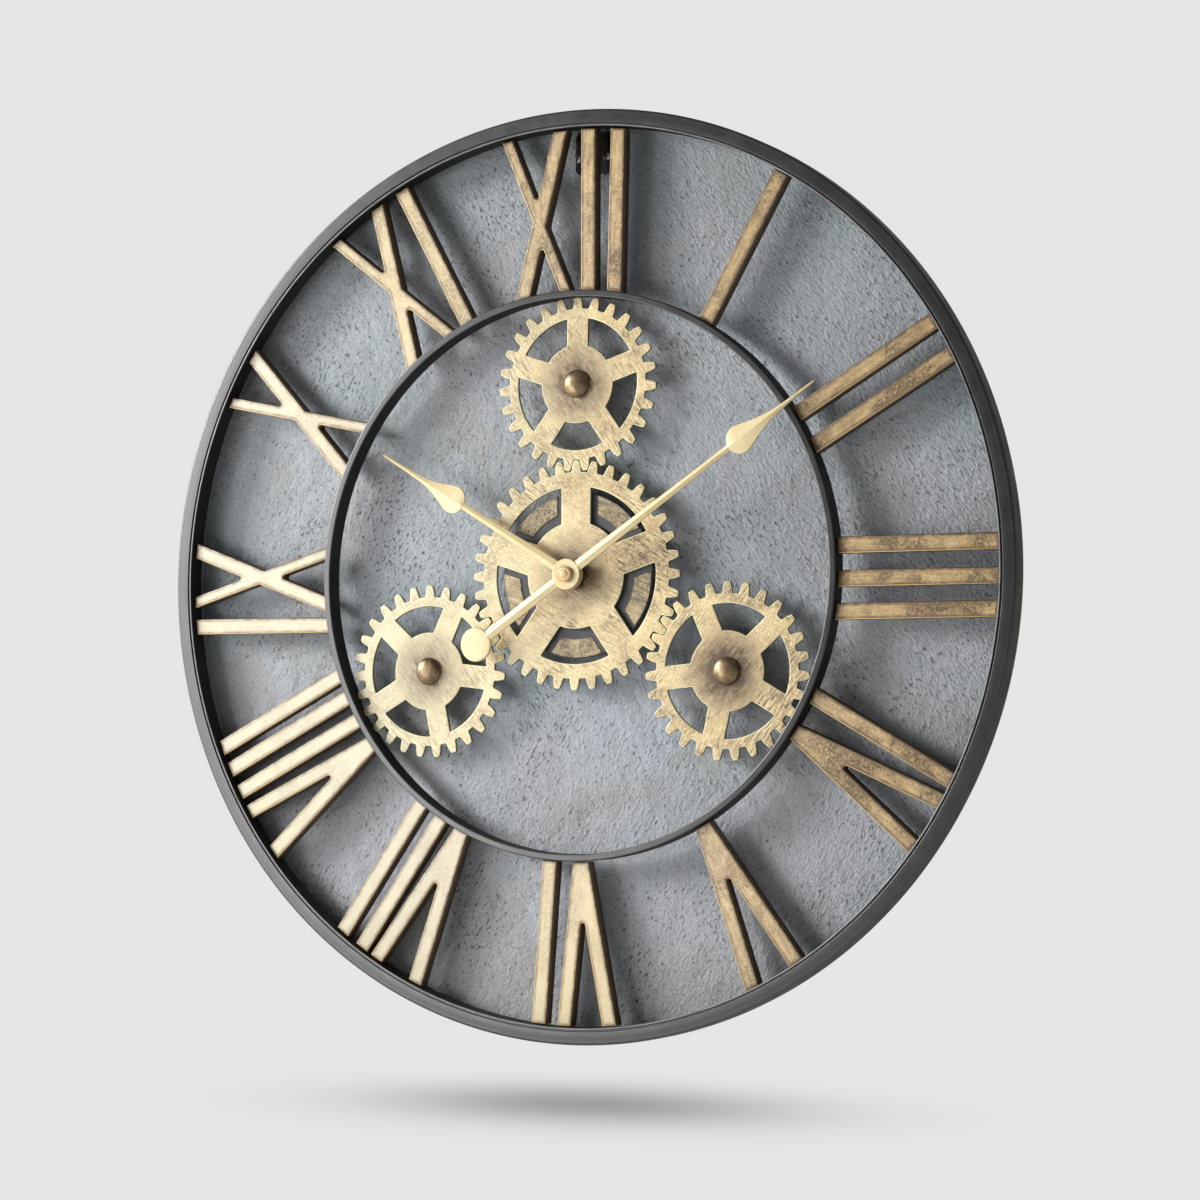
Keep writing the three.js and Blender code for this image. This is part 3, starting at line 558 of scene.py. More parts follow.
def patina_gold(name, pale, gold, deep, ground, patch=(0.42, 0.60, 0.36), fleck=0.72, speckle=620, soft=0.7, bias=None, brush=None, stain_and_shade_halo=None,
                metal=0.04, rough=(0.34, 0.44), walls=0.95, depth=0.95, coat=0.9, cells=38, grime=0.0, radial=False, painted_highlight_veil=None, lean=None, blot=0.75, fade=None):
    """Antique gold paint over a dark ground: cloudy gold with a sandy grain, paler on the arrises as wear and as a
    painted highlight, and worn in specks, brush strokes and patches to the ground."""
    g = Graph(name)
    x, y, z = g.xyz()
    lift = lambda c, k: tuple(min(1.0, v * k) for v in c)
    cloud = g.noise(24, 5, 0.62)
    color = g.ramp(cloud, [(0.36, gold), (0.52, pale), (0.68, gold)])
    grain = g.noise(800, 4, 0.7)
    color = g.mix(g.span(grain, 0.48, 0.66, 0.0, 0.85), color, deep)
    color = g.mix(g.span(grain, 0.32, 0.46, 0.75, 0.0), color, lift(pale, 1.22))
    blots = g.noise(150, 5, 0.66)
    color = g.mix(g.math("MULTIPLY", g.span(blots, 0.50, 0.66, 0.0, blot), bias(g, x, z) if bias is not None else 1.0), color, deep)
    relief = g.math("MULTIPLY", g.noise(700, 4, 0.65), 0.6)
    if radial:
        # streaks along the strokes, which all point at the middle of the dial
        tx, ty, tz = [g.n("ShaderNodeSeparateXYZ", {"Vector": g.mapped(rot=(0, 15, 0))}).outputs[i] for i in range(3)]
        turn_of = g.math("MULTIPLY", g.math("ARCTAN2", tx, tz), 130.0)
        reach = g.math("MULTIPLY", g.distance((0.0, (4.2 - MID) * 0.001, 0.0)), 45.0)
        streak = g.noise(1.0, 5, 0.7, vector=g.n("ShaderNodeCombineXYZ", {0: turn_of, 1: reach}).outputs[0])
        color = g.mix(g.span(streak, 0.50, 0.68, 0.0, 0.90), color, deep)
        color = g.mix(g.span(streak, 0.30, 0.46, 0.85, 0.0), color, lift(pale, 1.25))
        relief = g.math("ADD", relief, g.math("MULTIPLY", streak, 0.5))
    # painted highlight: a paler veil over the parts nearest the lamps
    if painted_highlight_veil is not None:
        color = g.mix(painted_highlight_veil[1](g, x, z), color, painted_highlight_veil[0])
    if lean is not None:
        # painted highlight: the six and the eleven are painted a little brighter
        wear_and_painted_light = g.math("MAXIMUM", g.span(g.distance((0.0, -0.0141, -0.236)), 0.045, 0.105, 0.45, 0.0),
                     g.span(g.distance((-0.118, -0.0141, 0.204)), 0.045, 0.105, 0.40, 0.0))
        color = g.mix(wear_and_painted_light, color, (0.600, 0.455, 0.180))
    # broad stains, sandy towards their rims, with specks that reach the ground
    where = g.span(g.noise(cells, 4, 0.62, distortion=0.6), patch[0], patch[1], 0.0, 1.0)
    if bias is not None:
        where = g.math("MULTIPLY", where, bias(g, x, z))
    specks = g.math("SUBTRACT", g.math("ADD", g.noise(speckle, 7, 0.78), g.math("MULTIPLY", where, patch[2])), fleck)
    wear = g.span(specks, 0.0, 0.18, 0.0, 1.0)
    sand = g.math("MULTIPLY", where, g.span(g.noise(560, 5, 0.76), 0.40, 0.60, 0.0, soft))
    wear = g.math("MAXIMUM", wear, sand)
    if brush is not None:
        angle, low, high, much = brush
        lines = g.noise(1.0, 5, 0.70, vector=g.mapped(scale=(95, 95, 800), rot=(0, angle, 0)))
        area_of = g.span(g.noise(26, 3, 0.6, distortion=0.4), 0.42, 0.60, 0.14, 1.0)
        if bias is not None:
            area_of = g.math("MULTIPLY", area_of, bias(g, x, z))
        wear = g.math("MAXIMUM", wear, g.math("MULTIPLY", g.math("MULTIPLY", g.span(lines, low, high, 0.0, 1.0), area_of), much))
        color = g.mix(g.span(lines, 0.28, 0.42, 0.8, 0.0), color, lift(pale, 1.2))
        relief = g.math("SUBTRACT", relief, g.math("MULTIPLY", lines, 0.7))
    # painted shade and stain: darker round the pin or hub, partly real tarnish, partly the shade of the pin, hub and
    # hands
    if stain_and_shade_halo is not None:
        centre, near, far, much = stain_and_shade_halo
        ring = g.span(g.distance(centre), near, far, 1.0, 0.0)
        cloudy = g.noise(130, 5, 0.68) if brush is None else g.math("ADD", g.math("MULTIPLY", lines, 0.6), g.math("MULTIPLY", g.noise(130, 5, 0.68), 0.4))
        wear_and_painted_light = g.math("MULTIPLY", ring, g.span(cloudy, 0.34, 0.60, 0.45, 1.0))
        wear = g.math("MAXIMUM", wear, g.math("MULTIPLY", wear_and_painted_light, much))
    if grime:
        dirt = g.math("MULTIPLY", g.span(g.attr("near"), 0.10, 0.88, 0.0, 1.0), g.span(g.noise(150, 5, 0.72), 0.34, 0.58, 0.36, grime))
        if bias is not None:
            dirt = g.math("MULTIPLY", dirt, g.span(bias(g, x, z), 0.2, 1.0, 0.70, 1.0))
    if fade is not None:
        ragged = g.span(g.math("ADD", fade(g, x, z), g.noise(230, 5, 0.75)), 0.86, 1.12)
        wear = g.math("MAXIMUM", wear, ragged)
    wear = g.math("MULTIPLY", wear, depth, clamp=True)
    brown = g.ramp(g.noise(420, 4, 0.6), [(0.35, ground), (0.7, lift(ground, 1.7))])
    color = g.mix(wear, color, brown)
    if grime:
        color = g.mix(dirt, color, (0.150, 0.092, 0.040))
    # arrises are paler, partly wear and partly a painted highlight; walls keep the dark ground
    edge = g.span(g.attr("edge"), 0.30, 0.95, 0.0, 1.0)
    edge_wear_and_highlight = g.math("MULTIPLY", edge, g.span(g.noise(150, 4, 0.6), 0.28, 0.6, 0.45, 1.0))
    if lean is None:
        color = g.mix(edge_wear_and_highlight, color, lift(pale, 1.55))
    else:
        # painted light: arrises that face the lean direction, towards the lamps, are painted bright as a highlight, and
        # those that face away are painted dark as shade
        face = g.n("ShaderNodeVectorMath", {0: g.n("ShaderNodeNewGeometry").outputs["Normal"], 1: lean}, operation="DOT_PRODUCT").outputs["Value"]
        color = g.mix(g.math("MULTIPLY", edge_wear_and_highlight, g.span(face, 0.02, 0.35)), color, lift(pale, 1.55))
        painted_shade_edge = g.math("MULTIPLY", edge, g.span(face, -0.35, 0.12, 0.92, 0.0))
        color = g.mix(painted_shade_edge, color, (0.050, 0.030, 0.013))
        wear = g.math("MAXIMUM", wear, painted_shade_edge)
    wall = g.span(g.attr("side"), 0.60, 1.0, 0.0, walls)
    wall = g.math("MULTIPLY", wall, g.span(g.noise(90, 4, 0.6), 0.25, 0.65, 0.85, 1.0))
    tone = (0.030, 0.018, 0.008)
    if lean is not None:
        # brown close behind the face, black towards the panel; the black deeper down is painted shade
        tone = g.mix(g.math("MULTIPLY", g.span(y, -0.0135, -0.0098, 1.0, 0.0), g.span(g.noise(210, 5, 0.7), 0.34, 0.60, 0.45, 1.0)),
                     (0.024, 0.015, 0.007), (0.215, 0.128, 0.050))
    color = g.mix(wall, color, tone)
    dull = g.math("MAXIMUM", wear, wall)
    if grime:
        dull = g.math("MAXIMUM", dull, g.math("MULTIPLY", dirt, 0.85))
    ro = g.math("ADD", g.span(g.noise(130, 4, 0.6), 0.3, 0.7, rough[0], rough[1]), g.math("MULTIPLY", dull, 0.24))
    relief = g.math("SUBTRACT", relief, g.math("MULTIPLY", wear, 0.4))
    g.p.inputs["Coat IOR"].default_value = 1.8
    return g.set(color=color, rough=ro, metal=metal, normal=g.bump(relief, 0.35, 0.0004), coat=g.span(dull, 0.0, 0.8, coat, coat * 0.06), coat_rough=0.34)


def hand_gold():
    g = Graph("pale_satin_gold")
    cloud = g.noise(40, 4, 0.55)
    color = g.ramp(cloud, [(0.32, (0.64, 0.500, 0.250)), (0.62, (0.75, 0.615, 0.345))])
    grain = g.span(g.noise(1300, 3, 0.7), 0.48, 0.75, 0.0, 0.4)
    color = g.mix(grain, color, (0.46, 0.32, 0.14))
    spots = g.span(g.math("ADD", g.noise(700, 6, 0.75), g.span(g.noise(45, 3, 0.6), 0.5, 0.72, 0.0, 0.16)), 0.66, 0.80, 0.0, 0.6)
    color = g.mix(spots, color, (0.20, 0.12, 0.05))
    edge = g.span(g.attr("edge"), 0.35, 1.0, 0.0, 0.5)
    color = g.mix(edge, color, (0.80, 0.68, 0.40))
    wall = g.span(g.attr("side"), 0.5, 1.0, 0.0, 0.75)
    color = g.mix(wall, color, (0.17, 0.10, 0.045))
    rough = g.span(g.noise(260, 4, 0.6), 0.3, 0.7, 0.34, 0.46)
    return g.set(color=color, rough=rough, metal=0.06, normal=g.bump(g.noise(900, 3, 0.6), 0.10, 0.0003), coat=0.14, coat_rough=0.34)


def aged_brass(name="aged_brass", light=(0.27, 0.190, 0.105), dark=(0.13, 0.088, 0.048), metal=0.8):
    g = Graph(name)
    cloud = g.noise(150, 4, 0.6)
    color = g.ramp(cloud, [(0.36, dark), (0.60, light)])
    pits = g.span(g.noise(1100, 5, 0.75), 0.58, 0.72, 0.0, 0.5)
    color = g.mix(pits, color, tuple(c * 0.5 for c in dark))
    edge = g.span(g.attr("edge"), 0.4, 1.0, 0.0, 0.5)
    color = g.mix(edge, color, tuple(min(1, c * 1.3) for c in light))
    rough = g.span(g.noise(300, 4, 0.6), 0.3, 0.7, 0.30, 0.44)
    return g.set(color=color, rough=rough, metal=metal, normal=g.bump(g.noise(500, 3, 0.6), 0.10, 0.0004))


def plaster():
    g = Graph("blue_grey_plaster")
    x, y, z = g.xyz()
    big = g.noise(5, 4, 0.55)
    mid = g.noise(30, 6, 0.68, distortion=0.5)
    color = g.ramp(big, [(0.30, (0.295, 0.310, 0.330)), (0.52, (0.355, 0.370, 0.391)), (0.74, (0.405, 0.418, 0.440))])
    color = g.mix(g.span(mid, 0.36, 0.66, 0.0, 0.75), color, (0.435, 0.448, 0.470))
    color = g.mix(g.span(g.noise(11, 4, 0.6, distortion=0.4), 0.48, 0.64, 0.0, 0.60), color, (0.285, 0.294, 0.303))
    teal = g.math("ADD", g.noise(7, 3, 0.5, vector=g.mapped(loc=(1.3, 0.2, 0.7))), g.span(g.math("ADD", x, z), 0.05, 0.40, 0.0, 0.12))
    color = g.mix(g.span(teal, 0.47, 0.65, 0.0, 0.70), color, (0.300, 0.365, 0.390))
    # darker towards the far left, and darker towards the top as painted shade from the ring and numerals above
    color = g.mix(g.span(x, -0.26, -0.06, 0.20, 0.0), color, (0.215, 0.220, 0.231))
    color = g.mix(g.span(z, 0.13, 0.27, 0.0, 0.24), color, (0.222, 0.218, 0.216))
    warm = g.math("ADD", g.noise(9, 4, 0.6, vector=g.mapped(loc=(2.7, 0.4, 5.1)), distortion=0.4), g.span(z, -0.26, -0.02, 0.11, -0.06))
    color = g.mix(g.span(warm, 0.51, 0.66, 0.0, 0.72), color, (0.272, 0.264, 0.240))
    cool = g.math("SUBTRACT", g.noise(10, 3, 0.5, vector=g.mapped(loc=(6.1, 0.3, 1.9))), g.span(g.distance((0.03, 0.004, -0.13)), 0.03, 0.12, -0.12, 0.10))
    color = g.mix(g.span(cool, 0.48, 0.66, 0.0, 0.50), color, (0.375, 0.412, 0.455))
    grain = g.noise(850, 4, 0.75)
    color = g.mix(g.span(grain, 0.50, 0.68, 0.0, 0.60), color, (0.215, 0.224, 0.238))
    color = g.mix(g.span(grain, 0.30, 0.48, 0.50, 0.0), color, (0.500, 0.515, 0.535))
    # short trowel nicks, leaning left at the upper right and right lower down, and loose pores
    bend = g.n("ShaderNodeTexNoise", {"Vector": g.coord, "Scale": 14.0, "Detail": 2.0}).outputs["Color"]
    bent = g.n("ShaderNodeVectorMath", {0: g.coord, 1: g.n("ShaderNodeVectorMath", {0: bend, "Scale": 0.005}, operation="SCALE").outputs[0]}, operation="ADD").outputs[0]

    def slant(deg, seed, along, across, detail=4):
        return g.noise(1.0, detail, 0.62, vector=g.mapped(scale=(along, 1, across), rot=(0, deg, 0), loc=(seed, 0, seed * 1.7), vector=bent))

    lean = g.math("ADD", g.math("ADD", x, z), g.span(g.noise(7, 3, 0.5), 0.3, 0.7, -0.16, 0.16))
    strokes = g.n("ShaderNodeMix", {0: g.span(lean, -0.02, 0.02), 2: slant(60, 3.3, 230, 560), 3: slant(-52, 0.0, 230, 540)}, data_type="FLOAT").outputs[0]
    crowd = g.span(g.noise(18, 4, 0.6), 0.36, 0.62, 0.0, 0.09)
    nicks = g.span(g.math("ADD", strokes, crowd), 0.658, 0.714, 0.0, 1.0)
    pores = g.noise(1.0, 3, 0.6, vector=g.mapped(scale=(330, 1, 480), rot=(0, 115, 0), loc=(2.1, 0, 4.4), vector=bent))
    pits = g.math("MULTIPLY", g.span(pores, 0.64, 0.69, 0.0, 1.0), g.span(g.noise(21, 3, 0.6, vector=g.mapped(loc=(4.0, 1.0, 2.0))), 0.42, 0.58, 0.0, 1.0))
    ridge = g.math("MULTIPLY", g.span(strokes, 0.38, 0.62, 0.0, 1.0), g.span(g.math("ADD", x, g.math("MULTIPLY", z, 0.3)), -0.16, 0.14, 0.06, 0.20))
    # the nicks and pores are painted dark as well as sunk: painted shade in their hollows
    color = g.mix(g.math("MULTIPLY", nicks, 0.80), color, (0.080, 0.085, 0.094))
    color = g.mix(g.math("MULTIPLY", pits, 0.85), color, (0.050, 0.054, 0.060))
    lumps = g.math("ADD", g.math("MULTIPLY", g.noise(260, 5, 0.70), 0.46), g.math("MULTIPLY", g.noise(70, 3, 0.6), 0.9))
    height = g.math("ADD", lumps, ridge)
    height = g.math("SUBTRACT", height, g.math("ADD", g.math("MULTIPLY", nicks, 0.30), g.math("MULTIPLY", pits, 0.32)))
    return g.set(color=color, rough=g.span(mid, 0.3, 0.7, 0.52, 0.72), normal=g.bump(height, 1.0, 0.0026), spec=0.5)


def fibre_board():
    g = Graph("hardboard_back")
    color = g.ramp(g.noise(24, 6, 0.7), [(0.3, (0.200, 0.122, 0.066)), (0.7, (0.310, 0.200, 0.115))])
    weave = g.noise(520, 5, 0.7)
    color = g.mix(g.span(weave, 0.45, 0.75, 0.0, 0.55), color, (0.125, 0.072, 0.038))
    fibres = g.noise(1.0, 4, 0.7, vector=g.mapped(scale=(260, 260, 1400), rot=(0, 24, 0)))
    color = g.mix(g.span(fibres, 0.54, 0.70, 0.0, 0.6), color, (0.390, 0.262, 0.150))
    return g.set(color=color, rough=g.span(weave, 0.3, 0.7, 0.62, 0.85), normal=g.bump(weave, 0.35, 0.0005))


def grey_painted_shade():
    # a dark grey that stands in for the centre gear's shade on the disc behind it
    g = Graph("grey_painted_shade_coat")
    cloud = g.noise(60, 4, 0.6)
    color = g.ramp(cloud, [(0.3, (0.038, 0.039, 0.040)), (0.7, (0.064, 0.065, 0.066))])
    return g.set(color=color, rough=g.span(g.noise(300, 4, 0.6), 0.3, 0.7, 0.5, 0.7), normal=g.bump(g.noise(900, 3, 0.6), 0.15, 0.0003))


def plastic(name, light, dark, rough=(0.42, 0.56), bump=0.16):
    g = Graph(name)
    cloud = g.noise(30, 4, 0.6)
    color = g.ramp(cloud, [(0.3, dark), (0.7, light)])
    grain = g.noise(2300, 2, 0.5)
    edge = g.span(g.attr("edge"), 0.4, 1.0, 0.0, 0.35)
    color = g.mix(edge, color, tuple(min(1, c * 1.6 + 0.01) for c in light))
    return g.set(color=color, rough=g.span(grain, 0.3, 0.7, *rough), normal=g.bump(grain, bump, 0.0002))


def steel(name="zinc_steel"):
    g = Graph(name)
    cloud = g.noise(70, 4, 0.65)
    lines = g.noise(1.0, 4, 0.6, vector=g.mapped(scale=(160, 160, 2600)))
    color = g.ramp(cloud, [(0.3, (0.40, 0.405, 0.41)), (0.7, (0.58, 0.585, 0.59))])
    color = g.mix(g.span(lines, 0.5, 0.75, 0.0, 0.35), color, (0.26, 0.262, 0.268))
    return g.set(color=color, metal=1.0, rough=g.span(lines, 0.3, 0.7, 0.24, 0.42), normal=g.bump(lines, 0.10, 0.0002))


def rubber():
    g = Graph("black_rubber")
    dust = g.noise(180, 5, 0.7)
    color = g.ramp(dust, [(0.35, (0.018, 0.018, 0.019)), (0.75, (0.050, 0.050, 0.052))])
    return g.set(color=color, rough=g.span(dust, 0.3, 0.7, 0.72, 0.92), normal=g.bump(g.noise(1500, 3, 0.6), 0.2, 0.0003))


def cell_jacket():
    g = Graph("cell_jacket")
    x, y, z = g.xyz()
    body = g.ramp(g.noise(60, 4, 0.6), [(0.3, (0.030, 0.065, 0.16)), (0.7, (0.045, 0.090, 0.20))])
    band = g.span(x, 0.0145, 0.0147, 0.0, 1.0)
    color = g.mix(band, body, (0.42, 0.43, 0.44))
    bare = g.span(g.math("ABSOLUTE", x), 0.02345, 0.02355, 0.0, 1.0)
    color = g.mix(bare, color, (0.62, 0.62, 0.62))
    rough = g.span(g.noise(220, 4, 0.6), 0.3, 0.7, 0.20, 0.32)
    return g.set(color=color, metal=g.span(g.math("MAXIMUM", band, bare), 0.0, 1.0, 0.15, 0.9), rough=rough, coat=0.3, coat_rough=0.12)


def copper_wire():
    g = Graph("copper_winding")
    turns = g.n("ShaderNodeTexWave", {"Vector": g.coord, "Scale": 900.0, "Distortion": 0.4, "Detail": 1.0}, bands_direction="Z").outputs["Fac"]
    color = g.ramp(turns, [(0.15, (0.20, 0.065, 0.022)), (0.8, (0.62, 0.26, 0.11))])
    return g.set(color=color, metal=0.9, rough=g.span(turns, 0, 1, 0.42, 0.26), normal=g.bump(turns, 0.5, 0.0003))


BLACK = black_paint()
DULL = dull_black()
# painted light on the numerals: a paler veil and fewer stains towards the lit left and lower left (partly uneven
# patina), the six and eleven painted brighter, and arrises painted bright or dark by the way they face
NUMERAL = patina_gold("distressed_gold_numerals", (0.585, 0.405, 0.170), (0.49, 0.320, 0.116), (0.27, 0.158, 0.054), (0.060, 0.036, 0.015),
                      patch=(0.40, 0.58, 0.34), fleck=0.735, soft=1.0, grime=1.1, radial=True, speckle=620,
                      bias=lambda g, x, z: g.span(g.math("ADD", x, g.math("MULTIPLY", z, 0.5)), -0.15, 0.13, 0.26, 1.0), lean=(-0.5, 0.0, -0.86), blot=0.35,
                      painted_highlight_veil=((0.372, 0.330, 0.182), lambda g, x, z: g.span(g.math("SUBTRACT", g.math("ADD", x, g.math("MULTIPLY", z, 0.35)), g.math("MULTIPLY", g.math("ABSOLUTE", z), 0.25)), -0.22, 0.02, 0.80, 0.0)))
HAND = hand_gold()
BRASS = aged_brass()
PLASTER = plaster()
FIBRE = fibre_board()
PAINTED_SHADE_GREY = grey_painted_shade()
PLASTIC = plastic("black_moulded_plastic", (0.022, 0.022, 0.023), (0.012, 0.012, 0.0125))
KNOB = plastic("ivory_plastic", (0.70, 0.68, 0.62), (0.60, 0.58, 0.52), bump=0.08)
STEEL = steel()
RUBBER = rubber()
CELL = cell_jacket()
COPPER = copper_wire()


# ------------------------------------------------------------------ rings

def outer_ring():
    """Flat front band with a rounded outer shoulder, and a rear skirt."""
    pts, rad = [], []

    def p(r, d, k=0.0):
        pts.append((r, d))
        rad.append(k)

    p(289.1, 0.06, 0.55)                       # bead along the inner lip
    p(290.2, 0.06, 0.30)
    p(290.35, 1.05, 0.12)                      # groove
    p(291.15, 1.05, 0.12)
    p(291.35, 0.06, 0.35)
    for i in range(1, 6):                      # crown
        t = i / 6
        p(291.6 + t * 5.2, 0.06 - 0.06 * (1 - (2 * t - 1) ** 2))
    p(297.0, 0.06)
    p(300.0, 0.06, 2.9)
    p(300.0, 12.6, 0.7)
    p(296.4, 13.0, 0.3)
    p(296.4, 21.7, 0.5)
    p(294.6, 21.7, 0.4)
    p(294.6, 13.0, 0.3)
    p(289.1, 13.0, 0.5)
    return lathe(rounded(pts, rad, steps=4), 288, True)


def inner_ring():
    prof = rounded([(179.0, 0.0), (183.4, 0.0), (183.4, 12.8), (179.0, 12.8)], [0.75, 0.75, 0.5, 0.5], steps=4)
    base = lathe(prof, 288, True)
    cutters = []
    for a in (90, 210, 330):
        cx, cz = 123.5 * math.cos(math.radians(a)), 123.5 * math.sin(math.radians(a))
        cutters.append(lathe([(0, 7.5, 0, 0), (57.25, 7.5, 0, 0), (57.25, 14.8, 0, 0), (0, 14.8, 0, 0)], 96, False, cx, cz))
    return cut(base, *cutters, name="inner_ring_cut")


def split_walls(o, limit=0.30):
    """Gives the second material to the faces that don't look forwards."""
    me = o.data
    n = np.zeros(len(me.polygons) * 3, np.float32)
    me.polygons.foreach_get("normal", n)
    me.polygons.foreach_set("material_index", (n.reshape(-1, 3)[:, 1] > -limit).astype(np.int32))


split_walls(piece("outer_ring", outer_ring(), BLACK, DULL))
split_walls(piece("inner_ring", inner_ring(), BLACK, DULL))


# ------------------------------------------------------------------ back board

def lattice(seed, n=128):
    return np.random.default_rng(seed).random((n, n))


def value_noise(x, y, cell, seed):
    g = lattice(seed)
    n = g.shape[0]
    u, v = x / cell + 511.3, y / cell + 287.9
    i, j = np.floor(u).astype(int), np.floor(v).astype(int)
    fu, fv = u - i, v - j
    fu, fv = fu * fu * (3 - 2 * fu), fv * fv * (3 - 2 * fv)
    a, b = g[i % n, j % n], g[(i + 1) % n, j % n]
    c, d = g[i % n, (j + 1) % n], g[(i + 1) % n, (j + 1) % n]
    return (a * (1 - fu) + b * fu) * (1 - fv) + (c * (1 - fu) + d * fu) * fv


def plaster_relief(x, z):
    """Depth of the plaster's tool marks below its highest points, in mm."""
    def turned(deg, along, across, seed):
        t = math.radians(deg)
        u, v = x * math.cos(t) + z * math.sin(t), -x * math.sin(t) + z * math.cos(t)
        return value_noise(u * across / along, v, across, seed)

    swell = value_noise(x, z, 26, 1) * 0.6 + value_noise(x, z, 11, 2) * 0.4
    a = 0.6 * turned(48, 16, 4.4, 3) + 0.4 * turned(52, 9, 2.9, 4)
    b = 0.6 * turned(118, 18, 4.8, 5) + 0.4 * turned(112, 8, 3.0, 6)
    w = np.clip((value_noise(x, z, 90, 7) - 0.35) / 0.3, 0, 1)
    mark = a * w + b * (1 - w)
    return 0.22 * swell + 0.42 * np.clip((mark - 0.48) / 0.3, 0, 1)


def back_board():
    s = Shape()
    pins = [(123.5 * math.cos(math.radians(a)), 123.5 * math.sin(math.radians(a))) for a in (90, 210, 330)]
    outer = circle(296, 288)
    holes = [circle(5.25, 40)] + [circle(4.2, 32, x, z) for x, z in pins]
    step = 2.3
    rows = []
    rng = np.random.default_rng(11)
    for k, zz in enumerate(np.arange(-296, 296, step * 0.866)):
        xx = np.arange(-296, 296, step) + (step / 2 if k % 2 else 0)
        rows.append(np.stack([xx, np.full_like(xx, zz)], 1))
    pts = np.concatenate(rows)
    pts += (rng.random(pts.shape) - 0.5) * 0.5
    ok = np.hypot(pts[:, 0], pts[:, 1]) < 294.6
    ok &= np.hypot(pts[:, 0], pts[:, 1]) > 6.6
    for x, z in pins:
        ok &= np.hypot(pts[:, 0] - x, pts[:, 1] - z) > 5.4
    pts = pts[ok]
    loops = [ccw(outer)] + [cw(h) for h in holes]
    front_ring = [[s.add(at(x, z, 22.05)) for x, z in l] for l in loops]
    depth = 22.03 + plaster_relief(pts[:, 0], pts[:, 1]) * np.clip((289.5 - np.hypot(pts[:, 0], pts[:, 1])) / 3, 0, 1)
    body = [s.add(at(x, z, d)) for (x, z), d in zip(pts, depth)]
    flat = [i for r in front_ring for i in r] + body
    for t in fill(loops, pts):
        s.face([flat[i] for i in t], 0)
    back_ring = [[s.add(at(x, z, 25.0)) for x, z in l] for l in loops]
    for f, b in zip(front_ring, back_ring):
        n = len(f)
        for i in range(n):
            s.face((f[i], f[(i + 1) % n], b[(i + 1) % n], b[i]), 1)
    flat = [i for r in back_ring for i in r]
    for t in fill(loops):
        s.face([flat[i] for i in t], 1)
    return s


piece("back_board", back_board(), PLASTER, FIBRE, sharp=50)


# ------------------------------------------------------------------ numerals

OUT_R, IN_R = 288.4, 183.8


def bar_edges(top, foot, width):
    dx, dy = foot[0] - top[0], foot[1] - top[1]
    ln = math.hypot(dx, dy)
    nx, ny = dy / ln, -dx / ln
    side = 1 if nx < 0 else -1

    def shift(k):
        return ((top[0] + side * k * nx * width / 2, top[1] + side * k * ny * width / 2), (dx / ln, dy / ln))

    return shift(1), shift(-1)


def meet(a, b):
    (ap, ad), (bp, bd) = a, b
    det = ad[0] * -bd[1] + bd[0] * ad[1]
    rx, ry = bp[0] - ap[0], bp[1] - ap[1]
    t = (rx * -bd[1] + bd[0] * ry) / det
    return (ap[0] + t * ad[0], ap[1] + t * ad[1])


def on_circle(line, R):
    (px, py), (dx, dy) = line
    b = px * dx + py * dy
    root = math.sqrt(b * b - (px * px + py * py - R * R))
    one = (px + (-b + root) * dx, py + (-b + root) * dy)
    two = (px + (-b - root) * dx, py + (-b - root) * dy)
    return one if one[1] > two[1] else two


def arc(a, b, R, n=1):
    t0, t1 = math.atan2(a[0], a[1]), math.atan2(b[0], b[1])
    return [(R * math.sin(t0 + (t1 - t0) * i / n), R * math.cos(t0 + (t1 - t0) * i / n)) for i in range(n + 1)]


def outline_i(top, foot):
    l, r = bar_edges((top, 287), (foot, 184), 10.4)
    return arc(on_circle(l, OUT_R), on_circle(r, OUT_R), OUT_R) + arc(on_circle(r, IN_R), on_circle(l, IN_R), IN_R)


def outline_v(left, right, foot_l, foot_r):
    ll, lr = bar_edges((left, 286), (foot_l, 184), 10.3)
    rl, rr = bar_edges((right, 286), (foot_r, 184), 9.8)
    b, c, k = on_circle(lr, OUT_R), on_circle(rl, OUT_R), meet(lr, rl)
    return (arc(on_circle(ll, OUT_R), b, OUT_R) + corner(b, k, c, 1.5, 8)
            + arc(c, on_circle(rr, OUT_R), OUT_R) + arc(on_circle(rr, IN_R), on_circle(ll, IN_R), IN_R))


def outline_x(thin_top, thin_foot, thick_top, thick_foot):
    nl, nr = bar_edges(thin_top, (thin_foot, 183.6), 7.4)
    kl, kr = bar_edges((thick_top, 287.4), (thick_foot, 183), 9.9)
    n1, n2, k1, k2 = (on_circle(e, OUT_R) for e in (nl, nr, kl, kr))
    n3, n4, k3, k4 = (on_circle(e, IN_R) for e in (nr, nl, kr, kl))
    return (arc(n1, n2, OUT_R) + corner(n2, meet(nr, kl), k1, 1.5, 8) + arc(k1, k2, OUT_R) + corner(k2, meet(kr, nr), n3, 1.5, 8)
            + arc(n3, n4, IN_R) + corner(n4, meet(nl, kr), k3, 1.5, 8) + arc(k3, k4, IN_R) + corner(k4, meet(kl, nl), n1, 1.5, 8))


